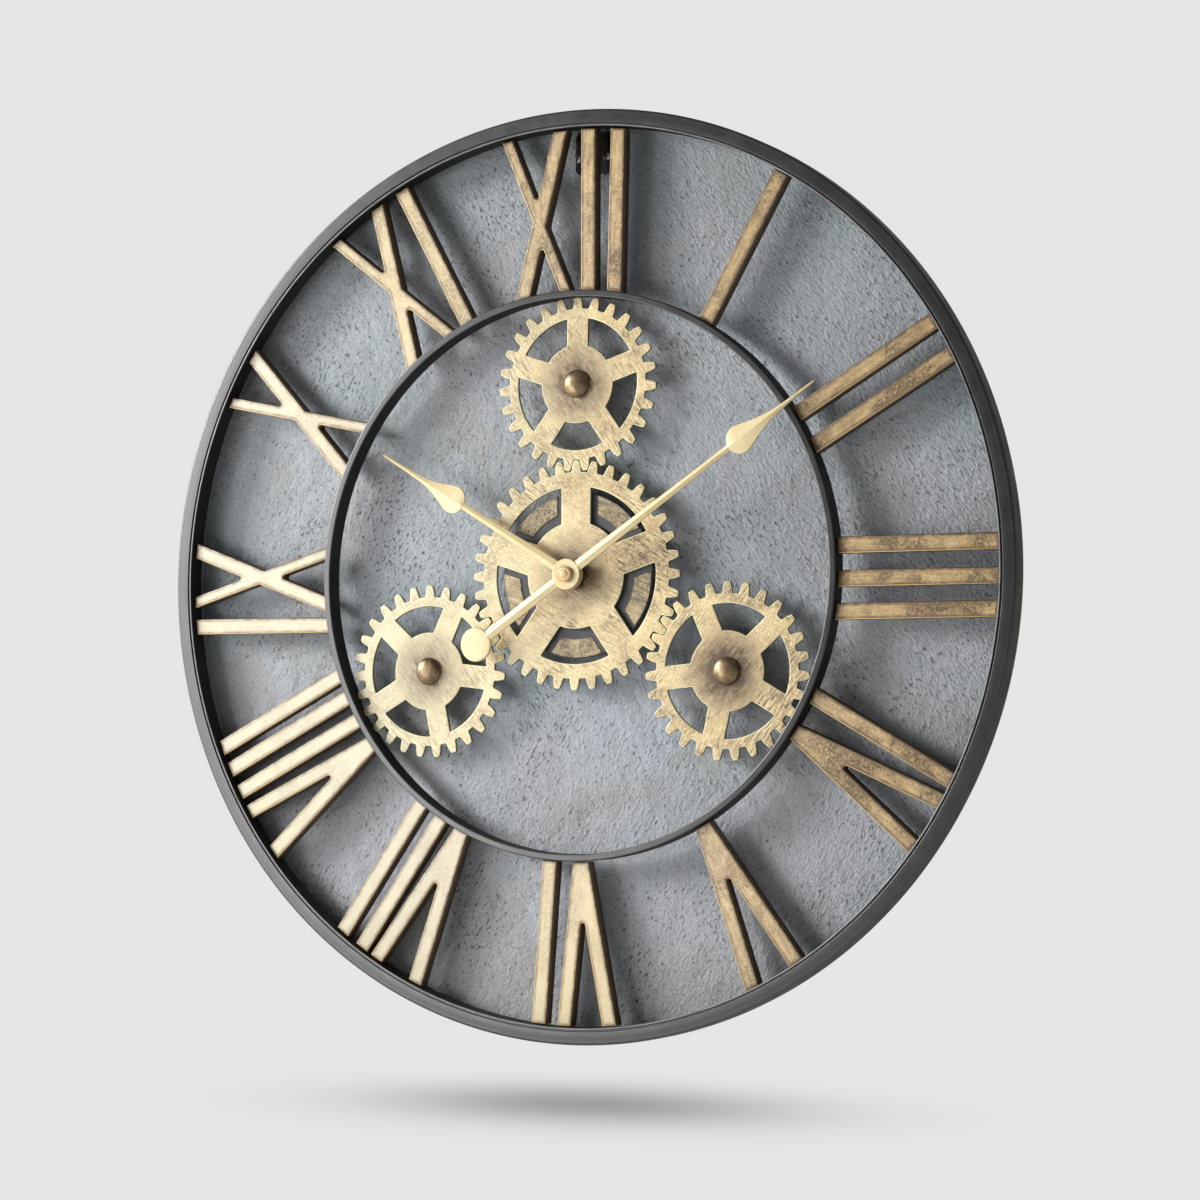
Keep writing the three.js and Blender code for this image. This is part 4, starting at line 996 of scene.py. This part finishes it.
I = lambda top, foot: ("i", outline_i(top, foot))
V = lambda *a: ("v", outline_v(*a))
X = lambda *a: ("x", outline_x(*a))
NUMERALS = [
    (1, "one", [I(-0.9, 0.3)]),
    (2, "two", [I(-8.8, -7.4), I(14.6, 15.6)]),
    (3, "three", [I(-16.6, -15.8), I(4.2, 4.9), I(24.2, 25.2)]),
    (4, "four", [I(-17.9, -16.7), V(-3.4, 29.2, 8.9, 9.3)]),
    (5, "five", [V(-14.8, 18.6, -1.8, -0.8)]),
    (6, "six", [V(-29.0, 2.9, -8.4, -7.2), I(21.2, 14.4)]),
    (7, "seven", [V(-35.0, -2.4, -14.2, -13.4), I(10.8, 3.2), I(28.4, 21.0)]),
    (8, "eight", [V(-47.4, -14.2, -21.4, -20.3), I(1.0, -2.2), I(18.0, 14.9), I(34.0, 30.8)]),
    (9, "nine", [I(-31.4, -30.8), X((-14.7, 288), 17.4, 20.6, -17.2)]),
    (10, "ten", [X((-26.0, 287.6), 9.4, 9.2, -23.8)]),
    (11, "eleven", [X((-42.7, 285), 0.2, -5.2, -33.2), I(16.3, 14.8)]),
    (12, "twelve", [X((-50.4, 283.6), -7.3, -12.2, -37.3), I(8.4, 9.2), I(29.6, 28.0)]),
]


def turn(loop, clockwise, cx=0.0, cz=0.0):
    c, s = math.cos(math.radians(clockwise)), math.sin(math.radians(clockwise))
    return [(cx + u * c + v * s, cz - u * s + v * c) for u, v in loop]


for hour, word, strokes in NUMERALS:
    many = sum(1 for k, _ in strokes if k == "i") > 1
    count = 0
    for letter, loop in strokes:
        tail = ""
        if letter == "i" and many:
            count += 1
            tail = f"_{count}"
        piece(f"numeral_{word}_{letter}{tail}", plate(turn(loop, 30 * hour), [], 4.2, 12.4, 0.8, 0.4, segs=4, rim=1.9), NUMERAL)


# ------------------------------------------------------------------ wheels

MODULE = 2 * 123.5 / 63


def wheel(teeth, module, deg, add, ded, backlash, angle, steps):
    r = teeth * module / 2
    rb, ra, rf = r * math.cos(math.radians(angle)), r + add * module, r - ded * module
    inv = lambda t: math.tan(t) - t
    half = (math.pi * module / 2 - backlash / 2) / (2 * r) + inv(math.radians(angle))
    spread = lambda R: half - inv(math.acos(min(1, rb / R)))
    low = max(rb, rf)
    radii = [rf] + ([low] if low > rf + 1e-6 else []) + [low + (ra - low) * i / steps for i in range(1, steps)] + [ra]
    pitch = TAU / teeth
    root = min(spread(low) + 0.04 * pitch, 0.47 * pitch)
    out = []
    for k in range(teeth):
        mid = math.radians(deg) + k * pitch
        for sign, rr in ((-1, radii), (1, radii[::-1])):
            for R in rr:
                t = mid + sign * (root if R == rf else spread(R))
                out.append((R * math.cos(t), R * math.sin(t)))
    return out


def windows(out_r, hub_r, spoke, deg, cx=0.0, cz=0.0, r=0.5, steps=3):
    loops = []
    for k in range(5):
        a = math.radians(deg) + TAU * k / 5
        b = a + TAU / 5
        eo, ei = math.asin(spoke / 2 / out_r), math.asin(spoke / 2 / hub_r)
        w = [(out_r * math.cos(a + eo + (b - a - 2 * eo) * i / 24), out_r * math.sin(a + eo + (b - a - 2 * eo) * i / 24)) for i in range(25)]
        w += [(hub_r * math.cos(b - ei - (b - a - 2 * ei) * i / 14), hub_r * math.sin(b - ei - (b - a - 2 * ei) * i / 14)) for i in range(15)]
        w = soften(w, r, r, min_turn=30, steps=steps)
        loops.append([(cx + x, cz + z) for x, z in w])
    return loops


def gear_gold(name, cx, cz, angle, stain_and_shade_halo, shade):
    # painted light on the gears: a paler veil and fewer stains towards the lit left, and a halo round the pin or hub
    # that is partly stain and partly painted shade
    return patina_gold("distressed_gold_" + name, (0.82, 0.655, 0.350), (0.71, 0.538, 0.252), (0.44, 0.290, 0.125), (0.092, 0.057, 0.035),
                       patch=(0.43, 0.60, 0.24), fleck=0.715, speckle=480, soft=0.85, brush=(angle, 0.475, 0.575, 1.0), depth=0.95, blot=0.5,
                       stain_and_shade_halo=((cx * 0.001, (8.2 - MID) * 0.001, cz * 0.001), *stain_and_shade_halo), walls=0.9, coat=0.25,
                       bias=lambda g, x, z: g.span(x, -0.13, 0.06, shade, 1.0),
                       painted_highlight_veil=((0.635, 0.582, 0.376), lambda g, x, z: g.span(x, -0.14, 0.02, 0.78, 0.0)))


loop = soften(wheel(36, MODULE, 90, 0.9, 1.02, 0.5, 15.5, 4), 0.8, 1.1, min_turn=22, steps=4)
piece("centre_gear", plate(loop, windows(57.2, 34.5, 21, 90) + [circle(5.25, 48)], 8.2, 10.4, 0.6, 0.25, segs=4, support=0.08),
      gear_gold("centre", 0, 0, -30, (0.008, 0.034, 1.25), 0.55))

DOME = [(9 * math.sin(math.pi / 2 * i / 12), 7.4 - 3.8 * math.cos(math.pi / 2 * i / 12), 0.0, 0.0) for i in range(13)]
for name, deg, slant, stain_and_shade_amount in (("top", 90, -52, 1.25), ("left", 210, -48, 1.0), ("right", 330, 52, 1.45)):
    cx, cz = 123.5 * math.cos(math.radians(deg)), 123.5 * math.sin(math.radians(deg))
    loop = soften([(cx + x, cz + z) for x, z in wheel(27, MODULE, deg, 0.9, 1.02, 0.5, 15.5, 4)], 0.8, 1.1, min_turn=22, steps=4)
    piece(f"{name}_gear", plate(loop, windows(42.8, 25.5, 15, deg, cx, cz) + [circle(4.2, 40, cx, cz)], 8.2, 10.4, 0.6, 0.25, segs=4, support=0.08),
          gear_gold(name, cx, cz, slant, (0.0090, 0.036, stain_and_shade_amount), 0.50))
    pin = DOME + [(9, 7.55, 0.6, 0), (8.85, 7.9, 0.2, 0), (3.9, 7.9, 0, 0), (3.9, 24.6, 0, 0), (3.6, 24.9, 0, 0), (0, 24.9, 0, 0)]
    piece(f"{name}_gear_pin", lathe(pin, 64, False, cx, cz), BRASS)
    bush = rounded([(4.2, 10.7), (8, 10.7), (8, 21.7), (4.2, 21.7)], [0.25, 0.5, 0.5, 0.25], steps=3)
    piece(f"{name}_gear_bush", lathe(bush, 48, True, cx, cz), PLASTIC)

# the disc behind the centre gear: a grey ground with five gold panels that stand proud of it; the dark grey round the
# panels is painted shade from the gear in front
disc = lathe(rounded([(5.25, 11.35), (53.5, 11.35), (53.5, 12.3), (13, 12.3), (13, 21.7), (5.25, 21.7)], [0.15, 0.3, 0.35, 0.8, 0.5, 0.2], steps=3), 128, True)
pads = []
for panel in windows(53.2, 41.0, 29, 90, r=1.2, steps=5):
    pad = plate(panel, [], 10.8, 11.6, 0.35, 0.1, segs=3, support=0.1)
    pad.mat = [1] * len(pad.f)
    pads.append(pad)


def pad_rim(g):
    """Rises towards the inner and outer rims of the gold panels."""
    out = g.n("ShaderNodeVectorMath", {0: g.mapped(scale=(1, 0, 1))}, operation="LENGTH").outputs["Value"]
    return g.math("MAXIMUM", g.span(out, 0.0408, 0.0450, 0.60, 0.0), g.span(out, 0.0492, 0.0532, 0.0, 0.60))


DISC = patina_gold("speckled_gold_disc", (0.56, 0.425, 0.205), (0.44, 0.315, 0.140), (0.22, 0.150, 0.066), (0.050, 0.043, 0.034),
                   patch=(0.36, 0.54, 0.26), fleck=0.70, speckle=420, soft=1.0, brush=(-20, 0.44, 0.55, 1.0), walls=0.9, coat=0.25, blot=0.6,
                   fade=lambda g, x, z: pad_rim(g))
piece("centre_disc", mark_walls(unite(disc, *pads, name="disc_join")), PAINTED_SHADE_GREY, DISC)
# the nut is a very dark brass, which also paints the shade of the hub beside it
piece("bush_nut", plate(soften(circle(9, 6), 1.0, 0.0), [circle(5.25, 40)], 4.4, 7.9, 0.5, 0.3), aged_brass("dark_brass_and_shade", (0.075, 0.048, 0.026), (0.040, 0.026, 0.015), metal=0.5))


# ------------------------------------------------------------------ hands

def smooth_stations(stations, per=6):
    """Passes a smooth, monotone curve through (distance, half width) stations."""
    a = np.array([p[0] for p in stations])
    w = np.array([p[1] for p in stations])
    h = np.diff(a)
    m = np.diff(w) / h
    d = np.zeros(len(a))
    for i in range(1, len(a) - 1):
        if m[i - 1] * m[i] > 0:
            k1, k2 = 2 * h[i] + h[i - 1], h[i] + 2 * h[i - 1]
            d[i] = (k1 + k2) / (k1 / m[i - 1] + k2 / m[i])
    d[0], d[-1] = m[0], m[-1]
    out = []
    for i in range(len(a) - 1):
        n = per if h[i] < 20 else 2 * per
        for k in range(n):
            t = k / n
            h00, h10 = 2 * t ** 3 - 3 * t ** 2 + 1, t ** 3 - 2 * t ** 2 + t
            h01, h11 = -2 * t ** 3 + 3 * t ** 2, t ** 3 - t ** 2
            out.append((a[i] + t * h[i], h00 * w[i] + h10 * h[i] * d[i] + h01 * w[i + 1] + h11 * h[i] * d[i + 1]))
    out.append((a[-1], w[-1]))
    return out


def blade(stations, front, back, degrees, ridge=0.95):
    """A hand's blade with two sloping facets that meet along a ridge."""
    s = Shape()
    c, n = math.cos(math.radians(degrees)), math.sin(math.radians(degrees))

    def put(u, v, d, e, w):
        return s.add(at(u * c + v * n, -u * n + v * c, d), e, w)

    rows = []
    for v, w in stations:
        k = min(0.22, 0.3 * w)
        lip = min(back - 0.5, front + min(ridge, 0.42 * w + 0.15))
        row = [
            put(0, v, front, 0.3, 0),
            put(w - k, v, lip - 0.02, 0.5, 0.1), put(w, v, lip + k, 0.6, 0.75), put(w, v, back - 0.15, 0, 1), put(w - 0.6 * k, v, back, 0, 1),
            put(-(w - 0.6 * k), v, back, 0, 1), put(-w, v, back - 0.15, 0, 1), put(-w, v, lip + k, 0.6, 0.75), put(-(w - k), v, lip - 0.02, 0.5, 0.1),
        ]
        rows.append(row)
    m = len(rows[0])
    for r0, r1 in zip(rows, rows[1:]):
        for i in range(m):
            j = (i + 1) % m
            s.face((r0[i], r0[j], r1[j], r1[i]))
    s.face(rows[0])
    s.face(rows[-1])
    return s


def hub(r, front, back, bore, cx=0.0, cz=0.0):
    prof = [(bore, front + 0.25), (r * 0.55, front + 0.25), (r * 0.62, front + 0.05), (r - 0.05, front + 0.05), (r, back), (bore, back)]
    return lathe(rounded(prof, [0.1, 0.1, 0.1, 0.55, 0.25, 0.1], steps=4), 72, True, cx, cz)


def flat_disc(r, front, back, cx, cz):
    prof = [(0, front + 0.12, 0, 0), (r * 0.5, front + 0.14, 0, 0), (r * 0.8, front + 0.22, 0, 0), (r - 0.9, front + 0.36, 0.3, 0), (r - 0.3, front + 0.62, 1, 0),
            (r, front + 1.1, 0.5, 0.6), (r, back - 0.2, 0, 1), (r - 0.2, back, 0, 1), (0, back, 0, 1)]
    return lathe(prof, 72, False, cx, cz)


HOUR = smooth_stations([(6.5, 3.6), (90, 2.3), (91.2, 4.6), (93.5, 7.2), (96, 8.6), (98.5, 9.1), (102, 8.6), (107, 6.8),
                        (113, 4.6), (120, 2.8), (130, 1.8), (145, 1.2), (158, 0.9), (159.6, 0.5)])
MINUTE = smooth_stations([(6.5, 3.6), (136.5, 2.1), (137.8, 4.6), (140, 7.2), (142.5, 8.7), (145.5, 9.3), (150, 8.3), (156, 6.3),
                          (163, 4.2), (171, 2.6), (181, 1.5), (195, 0.9), (205.6, 0.6), (206.8, 0.3)])
hour = unite(hub(10, -2.4, -0.4, 3.2), blade(HOUR, -2.3, -0.42, 300.5), name="hour_join", sharp=12)
piece("hour_hand", mark_walls(hour), HAND)
tx, tz = turn([(0, -79)], 55.5)[0]
minute = unite(hub(10, -5.6, -3.6, 1.9), blade(MINUTE, -5.5, -3.62, 55.5), blade([(6.5, 3.5), (40, 3.5), (72, 3.5)], -5.5, -3.64, 235.5),
               flat_disc(11.2, -5.6, -3.6, tx, tz), name="minute_join", sharp=12)
piece("minute_hand", mark_walls(minute), HAND)

nut = [(0, -8.4, 0, 0), (1.2, -8.4, 0, 0), (2.2, -8.37, 0.6, 0), (2.5, -8.2, 1.0, 0), (2.62, -8.02, 0.3, 0), (2.85, -7.98, 0, 0), (3.5, -8.06, 0, 0), (4.2, -7.98, 0.5, 0), (4.65, -7.72, 1.0, 0),
       (4.92, -7.25, 0.8, 0), (5.0, -6.7, 0.2, 0.4), (5.0, -6.05, 0, 0.8), (4.9, -5.9, 0, 1), (1.9, -5.9, 0, 1), (1.9, -7.4, 0, 1), (0, -7.4, 0, 1)]
NUT = aged_brass("tan_brass", (0.56, 0.39, 0.185), (0.42, 0.28, 0.125), metal=0.3)
piece("hand_nut", lathe(nut, 64, False), NUT)


# ------------------------------------------------------------------ rim tab and its screws

def screw(x, z, profile, cross, front, deep, width):
    base = lathe(profile, 40, False, x, z)
    tools = []
    for a, b in ((cross, width), (width, cross)):
        tools.append(plate([(x - a, z - b), (x + a, z - b), (x + a, z + b), (x - a, z + b)], [], front, deep, 0.05, 0.05, segs=1, support=0.02))
    return cut(base, *tools, name="screw_cut", sharp=40)


tab = soften([(-8.9, 261), (17.7, 261), (17.7, 288.6), (4.4, 289.1), (-8.9, 289.0)], 5.0, 0, min_turn=60, steps=8)
piece("rim_tab", plate(tab, [circle(1.8, 24, -6.0, 272), circle(1.8, 24, 14.8, 272.4)], 20.2, 21.7, 0.3, 0.2, segs=3), BLACK)
for side, x, z in (("left", -6.0, 272.0), ("right", 14.8, 272.4)):
    prof = [(0, 17.6, 0, 0), (1.0, 17.66, 0, 0), (1.8, 17.86, 0, 0), (2.5, 18.25, 0, 0), (3.0, 18.8, 0.4, 0), (3.3, 19.5, 0.6, 0), (3.2, 19.9, 0, 0), (1.5, 19.9, 0, 0), (1.5, 23.9, 0, 0), (0, 23.9, 0, 0)]
    piece(f"tab_screw_{side}", screw(x, z, prof, 1.7, 17.2, 18.7, 0.36), STEEL)


# ------------------------------------------------------------------ movement

def rounded_box(x0, x1, z0, z1, r, steps=6):
    return soften([(x0, z0), (x1, z0), (x1, z1), (x0, z1)], r, 0, steps=steps)


case = plate(rounded_box(-28, 28, -33, 28, 3.0), [], 25.3, 41.3, 0.8, 0.5, segs=4,
             pockets=[(rounded_box(-26.2, 26.2, -13.2, 26.2, 1.6), 27.1), (rounded_box(-26.2, 26.2, -31.2, -15, 1.2), 27.1)])
thread = [(3.3, 3.4, 0, 0), (4.5, 3.4, 0, 0)]
for i in range(22):
    d = 3.8 + i * 0.95
    thread += [(4.88, d, 0.4, 0), (4.88, d + 0.12, 0.4, 0), (4.45, d + 0.5, 0, 0.3), (4.45, d + 0.6, 0, 0.3)]
thread += [(4.9, 24.9, 0, 0), (4.9, 25.8, 0, 0), (3.3, 25.8, 0, 0)]
case.join(lathe(thread, 48, True))
piece("movement_case", case, PLASTIC)

cover = plate(rounded_box(-25.9, 25.9, -12.9, 25.9, 1.4), [circle(2.1, 32)], 39.5, 41.1, 0.3, 0.5, segs=3)
piece("movement_cover", cover, PLASTIC)

cell_at = lambda a, b, s: at(s, -23.1 + b, 34.6 + a)
cell = [(0, -24.2, 0, 0), (5.6, -24.2, 0, 0), (6.5, -24.1, 0.5, 0), (6.95, -23.8, 0.5, 0), (7.1, -23.4, 0, 0), (7.1, 22.9, 0, 0), (6.95, 23.4, 0.5, 0), (6.6, 23.7, 0.5, 0), (6.1, 23.8, 0, 0), (5.9, 23.95, 0, 0),
        (3.0, 24.0, 0, 0), (2.75, 24.2, 0, 0), (2.7, 25.1, 0, 0), (2.4, 25.4, 0.5, 0), (0, 25.4, 0, 0)]
piece("battery_cell", lathe(cell, 64, False, place=cell_at), CELL)

knob_loop = []
for i in range(120):
    t = TAU * i / 120
    r = 5.86 + 0.14 * math.cos(30 * t)
    knob_loop.append((r * math.cos(t), r * math.sin(t)))
knob = plate(knob_loop, [], 41.5, 44.4, 0.12, 0.12, segs=3, support=0.05)
piece("set_knob", knob, KNOB)

C45 = 14.4 * math.cos(math.radians(45))
small = lambda teeth, module, deg: soften(wheel(teeth, module, deg, 0.9, 1.2, 0.24 * module, 20, 3), 0.14, 0.12, min_turn=25, steps=2)
pipe = lathe(rounded([(1.95, -2.9), (2.9, -2.9), (2.9, 29.3), (1.95, 29.3)], [0.15, 0.2, 0.1, 0.1], steps=3), 48, True)
pipe.join(plate(small(40, 0.576, 45), [circle(2.95, 40)], 27.7, 29.3, 0.06, 0.06, segs=2, support=0.03))
piece("hour_pipe", pipe, KNOB)
arbor = lathe([(0, -7.1, 0, 0), (1.3, -7.1, 0, 0), (1.6, -6.8, 0.5, 0), (1.6, 42.7, 0, 0), (1.3, 43.0, 0.5, 0), (0, 43.0, 0, 0)], 40, False)
arbor.join(plate(small(12, 0.6, 45), [circle(1.62, 32)], 30.2, 33.4, 0.06, 0.06, segs=2, support=0.03))
piece("minute_arbor", arbor, BRASS)
motion = plate([(C45 + x, C45 + z) for x, z in small(36, 0.6, 225 + 5)], [circle(1.3, 24, C45, C45)], 31.0, 33.0, 0.06, 0.06, segs=2, support=0.03)
motion.join(plate([(C45 + x, C45 + z) for x, z in small(10, 0.576, 225 + 18)], [circle(1.3, 24, C45, C45)], 27.5, 31.05, 0.06, 0.06, segs=2, support=0.03))
piece("motion_wheel", motion, KNOB)
coil_at = lambda a, b, s: at(-20 + a, 7 + s, 33.2 + b)
coil = rounded([(5.4, -13), (5.4, -11.6), (4.6, -11.6), (4.6, 11.6), (5.4, 11.6), (5.4, 13)], [0.2, 0.2, 0.1, 0.1, 0.2, 0.2], steps=2, closed=False)
piece("stepper_coil", lathe([(0, -13, 0, 0)] + coil + [(0, 13, 0, 0)], 40, False, place=coil_at), COPPER)


# ------------------------------------------------------------------ hanging hardware

hat = [(-45, 25.3), (-28.4, 25.3), (-28.4, 43.4), (28.4, 43.4), (28.4, 25.3), (45, 25.3), (45, 26.9), (30, 26.9), (30, 45), (-30, 45), (-30, 26.9), (-45, 26.9)]


def sheet_bends(loop, r):
    p = ccw(loop)
    out = []
    for i, b in enumerate(p):
        a, c = p[i - 1], p[(i + 1) % len(p)]
        out += [b] if abs(b[0]) > 44 else corner(a, b, c, r, 5)
    return out


hanger = plate(sheet_bends(hat, 0.9), [], 228, 254, 0.25, 0.25, segs=2, support=0.1, place=lambda a, b, c: at(a, c, b))
holes = [
    lathe([(0, 40, 0, 0), (5.5, 40, 0, 0), (5.5, 47, 0, 0), (0, 47, 0, 0)], 48, False, 0, 236.5),
    lathe([(0, 40, 0, 0), (2.6, 40, 0, 0), (2.6, 47, 0, 0), (0, 47, 0, 0)], 40, False, 0, 246.5),
    plate([(-2.6, 236.5), (2.6, 236.5), (2.6, 246.5), (-2.6, 246.5)], [], 40, 47, 0.02, 0.02, segs=1, support=0.02),
    lathe([(0, 24, 0, 0), (2.1, 24, 0, 0), (2.1, 28, 0, 0), (0, 28, 0, 0)], 32, False, -38, 241),
    lathe([(0, 24, 0, 0), (2.1, 24, 0, 0), (2.1, 28, 0, 0), (0, 28, 0, 0)], 32, False, 38, 241),
]
piece("hanger_plate", cut(hanger, *holes, name="hanger_cut", sharp=28), STEEL)

for side, x in (("left", -38), ("right", 38)):
    prof = [(0, 23.2, 0, 0), (1.8, 23.2, 0, 0), (1.8, 27.2, 0, 0), (3.9, 27.2, 0, 0), (4.0, 27.5, 0.5, 0), (3.85, 28.2, 0.4, 0), (3.4, 28.8, 0, 0), (2.6, 29.15, 0, 0), (1.4, 29.35, 0, 0), (0, 29.4, 0, 0)]
    piece(f"hanger_screw_{side}", screw(x, 241, prof, 2.0, 28.2, 30.0, 0.42), STEEL)

for side, x in (("left", -105), ("right", 105)):
    prof = rounded([(0, 23.2), (2, 23.2), (2, 25.3), (10, 25.3), (9.75, 28.2), (9.35, 28.6), (9.35, 29.4), (9.65, 29.8), (8.4, 43.6), (7.0, 45.0), (0, 45.0)],
                   [0, 0.2, 0.2, 0.5, 0.2, 0.2, 0.2, 0.2, 0.9, 0.4, 0], steps=4, closed=False)
    piece(f"wall_bumper_{side}", lathe(prof, 56, False, x, -228), RUBBER)


# ------------------------------------------------------------------ stage, light and camera

def cyclorama():
    floor_z, back_y, r, n = -0.340, 3.2, 1.4, 24
    line = [(-6.0, floor_z)] + [(back_y - r + r * math.sin(math.pi / 2 * i / n), floor_z + r - r * math.cos(math.pi / 2 * i / n)) for i in range(n + 1)] + [(back_y, 6.0)]
    v, f = [], []
    for y, z in line:
        v += [(-8.0, y, z), (8.0, y, z)]
    for i in range(len(line) - 1):
        f.append((2 * i, 2 * i + 1, 2 * i + 3, 2 * i + 2))
    me = bpy.data.meshes.new("studio_floor")
    me.from_pydata(v, [], f)
    for p in me.polygons:
        p.use_smooth = True
    o = bpy.data.objects.new("studio_floor", me)
    bpy.context.scene.collection.objects.link(o)
    g = Graph("studio_glow")
    x, y, z = g.xyz()
    g.put(g.span(y, -1.1, -0.6, 0.35, 0.775), g.p.inputs["Emission Strength"])
    g.p.inputs["Emission Color"].default_value = (1.0, 1.0, 0.995, 1.0)
    me.materials.append(g.set(color=(0.02, 0.02, 0.02), rough=0.95, spec=0.0))
    o.visible_camera = False
    # the same floor carried round into a bowl, so that every view has a plain pale ground; it is only seen and lights nothing
    prof = [(0.0, floor_z - 0.001)] + [(4.4 + r * math.sin(math.pi / 2 * i / n), floor_z - 0.001 + r - r * math.cos(math.pi / 2 * i / n)) for i in range(n + 1)] + [(4.4 + r, 7.0), (0.0, 9.0)]
    turns, v, f = 96, [], []
    for radius, z in prof:
        v += [(radius * math.cos(TAU * k / turns), radius * math.sin(TAU * k / turns), z) for k in range(turns)]
    for i in range(len(prof) - 1):
        for k in range(turns):
            j = (k + 1) % turns
            f.append((i * turns + k, i * turns + j, (i + 1) * turns + j, (i + 1) * turns + k))
    me = bpy.data.meshes.new("studio_bowl")
    me.from_pydata(v, [], f)
    for p in me.polygons:
        p.use_smooth = True
    o = bpy.data.objects.new("studio_bowl", me)
    bpy.context.scene.collection.objects.link(o)
    o.visible_diffuse = o.visible_glossy = o.visible_transmission = o.visible_shadow = o.visible_volume_scatter = False
    g = Graph("studio_paper")
    tone = g.ramp(g.noise(1.2, 2, 0.5), [(0.3, (0.019, 0.019, 0.019)), (0.7, (0.021, 0.021, 0.021))])
    # soft shade under the clock, as a falling bell curve
    away = g.n("ShaderNodeVectorMath", {0: g.mapped(scale=(1 / 0.140, 1 / 0.108, 0.0)), 1: (0.0, 0.0166 / 0.108, 0.0)}, operation="DISTANCE").outputs["Value"]
    bell = g.math("EXPONENT", g.math("MULTIPLY", g.math("MULTIPLY", away, away), -1.0))
    shade = g.span(bell, 0.0, 1.0, 1.0, 0.43)
    g.put(g.math("MULTIPLY", shade, 0.775), g.p.inputs["Emission Strength"])
    g.p.inputs["Emission Color"].default_value = (1.0, 1.0, 0.995, 1.0)
    me.materials.append(g.set(color=tone, rough=0.95, spec=0.0))


def area(name, loc, target, size, size_y, power, tilt=0.0):
    l = bpy.data.lights.new(name, "AREA")
    l.shape, l.size, l.size_y, l.energy = "RECTANGLE", size, size_y, power
    o = bpy.data.objects.new(name, l)
    o.location = loc
    o.rotation_euler = ((Vector(target) - Vector(loc)).to_track_quat("-Z", "Y") @ Quaternion((0, 0, 1), math.radians(tilt))).to_euler()
    o.visible_camera = False
    bpy.context.scene.collection.objects.link(o)


cyclorama()
world = bpy.data.worlds.new("studio")
bpy.context.scene.world = world
world.use_nodes = True
bg = world.node_tree.nodes["Background"]
bg.inputs["Color"].default_value = (1, 1, 1, 1)
bg.inputs["Strength"].default_value = 0.17
area("key", (-1.92, -1.11, 0.70), (0, 0, 0), 0.7, 0.7, 57.5)
area("strip", (-0.75, -0.90, -0.06), (-0.05, 0, -0.03), 0.46, 0.80, 6.4, 14)
area("low", (-0.47, -0.90, -0.30), (0.05, 0, -0.20), 0.24, 0.24, 1.25)
area("side", (-1.20, -0.27, 0.10), (0, 0, 0.0), 0.36, 0.9, 4)

az, el, roll = math.radians(26.332), math.radians(-2.499), math.radians(0.521)
target = Vector((0.02202, -0.0183, -0.01661))
back = Vector((math.sin(az) * math.cos(el), -math.cos(az) * math.cos(el), math.sin(el)))
fw = -back
right = fw.cross(Vector((0, 0, 1))).normalized()
up = right.cross(fw)
r2 = right * math.cos(roll) + up * math.sin(roll)
u2 = -right * math.sin(roll) + up * math.cos(roll)
cam_data = bpy.data.cameras.new("camera")
cam_data.sensor_width = 36
cam_data.lens = 95.276
cam = bpy.data.objects.new("camera", cam_data)
m = Matrix((r2, u2, -fw)).transposed().to_4x4()
m.translation = target + back * 2.02429
cam.matrix_world = m
bpy.context.scene.collection.objects.link(cam)
bpy.context.scene.camera = cam
bpy.context.scene.view_settings.view_transform = "Standard"
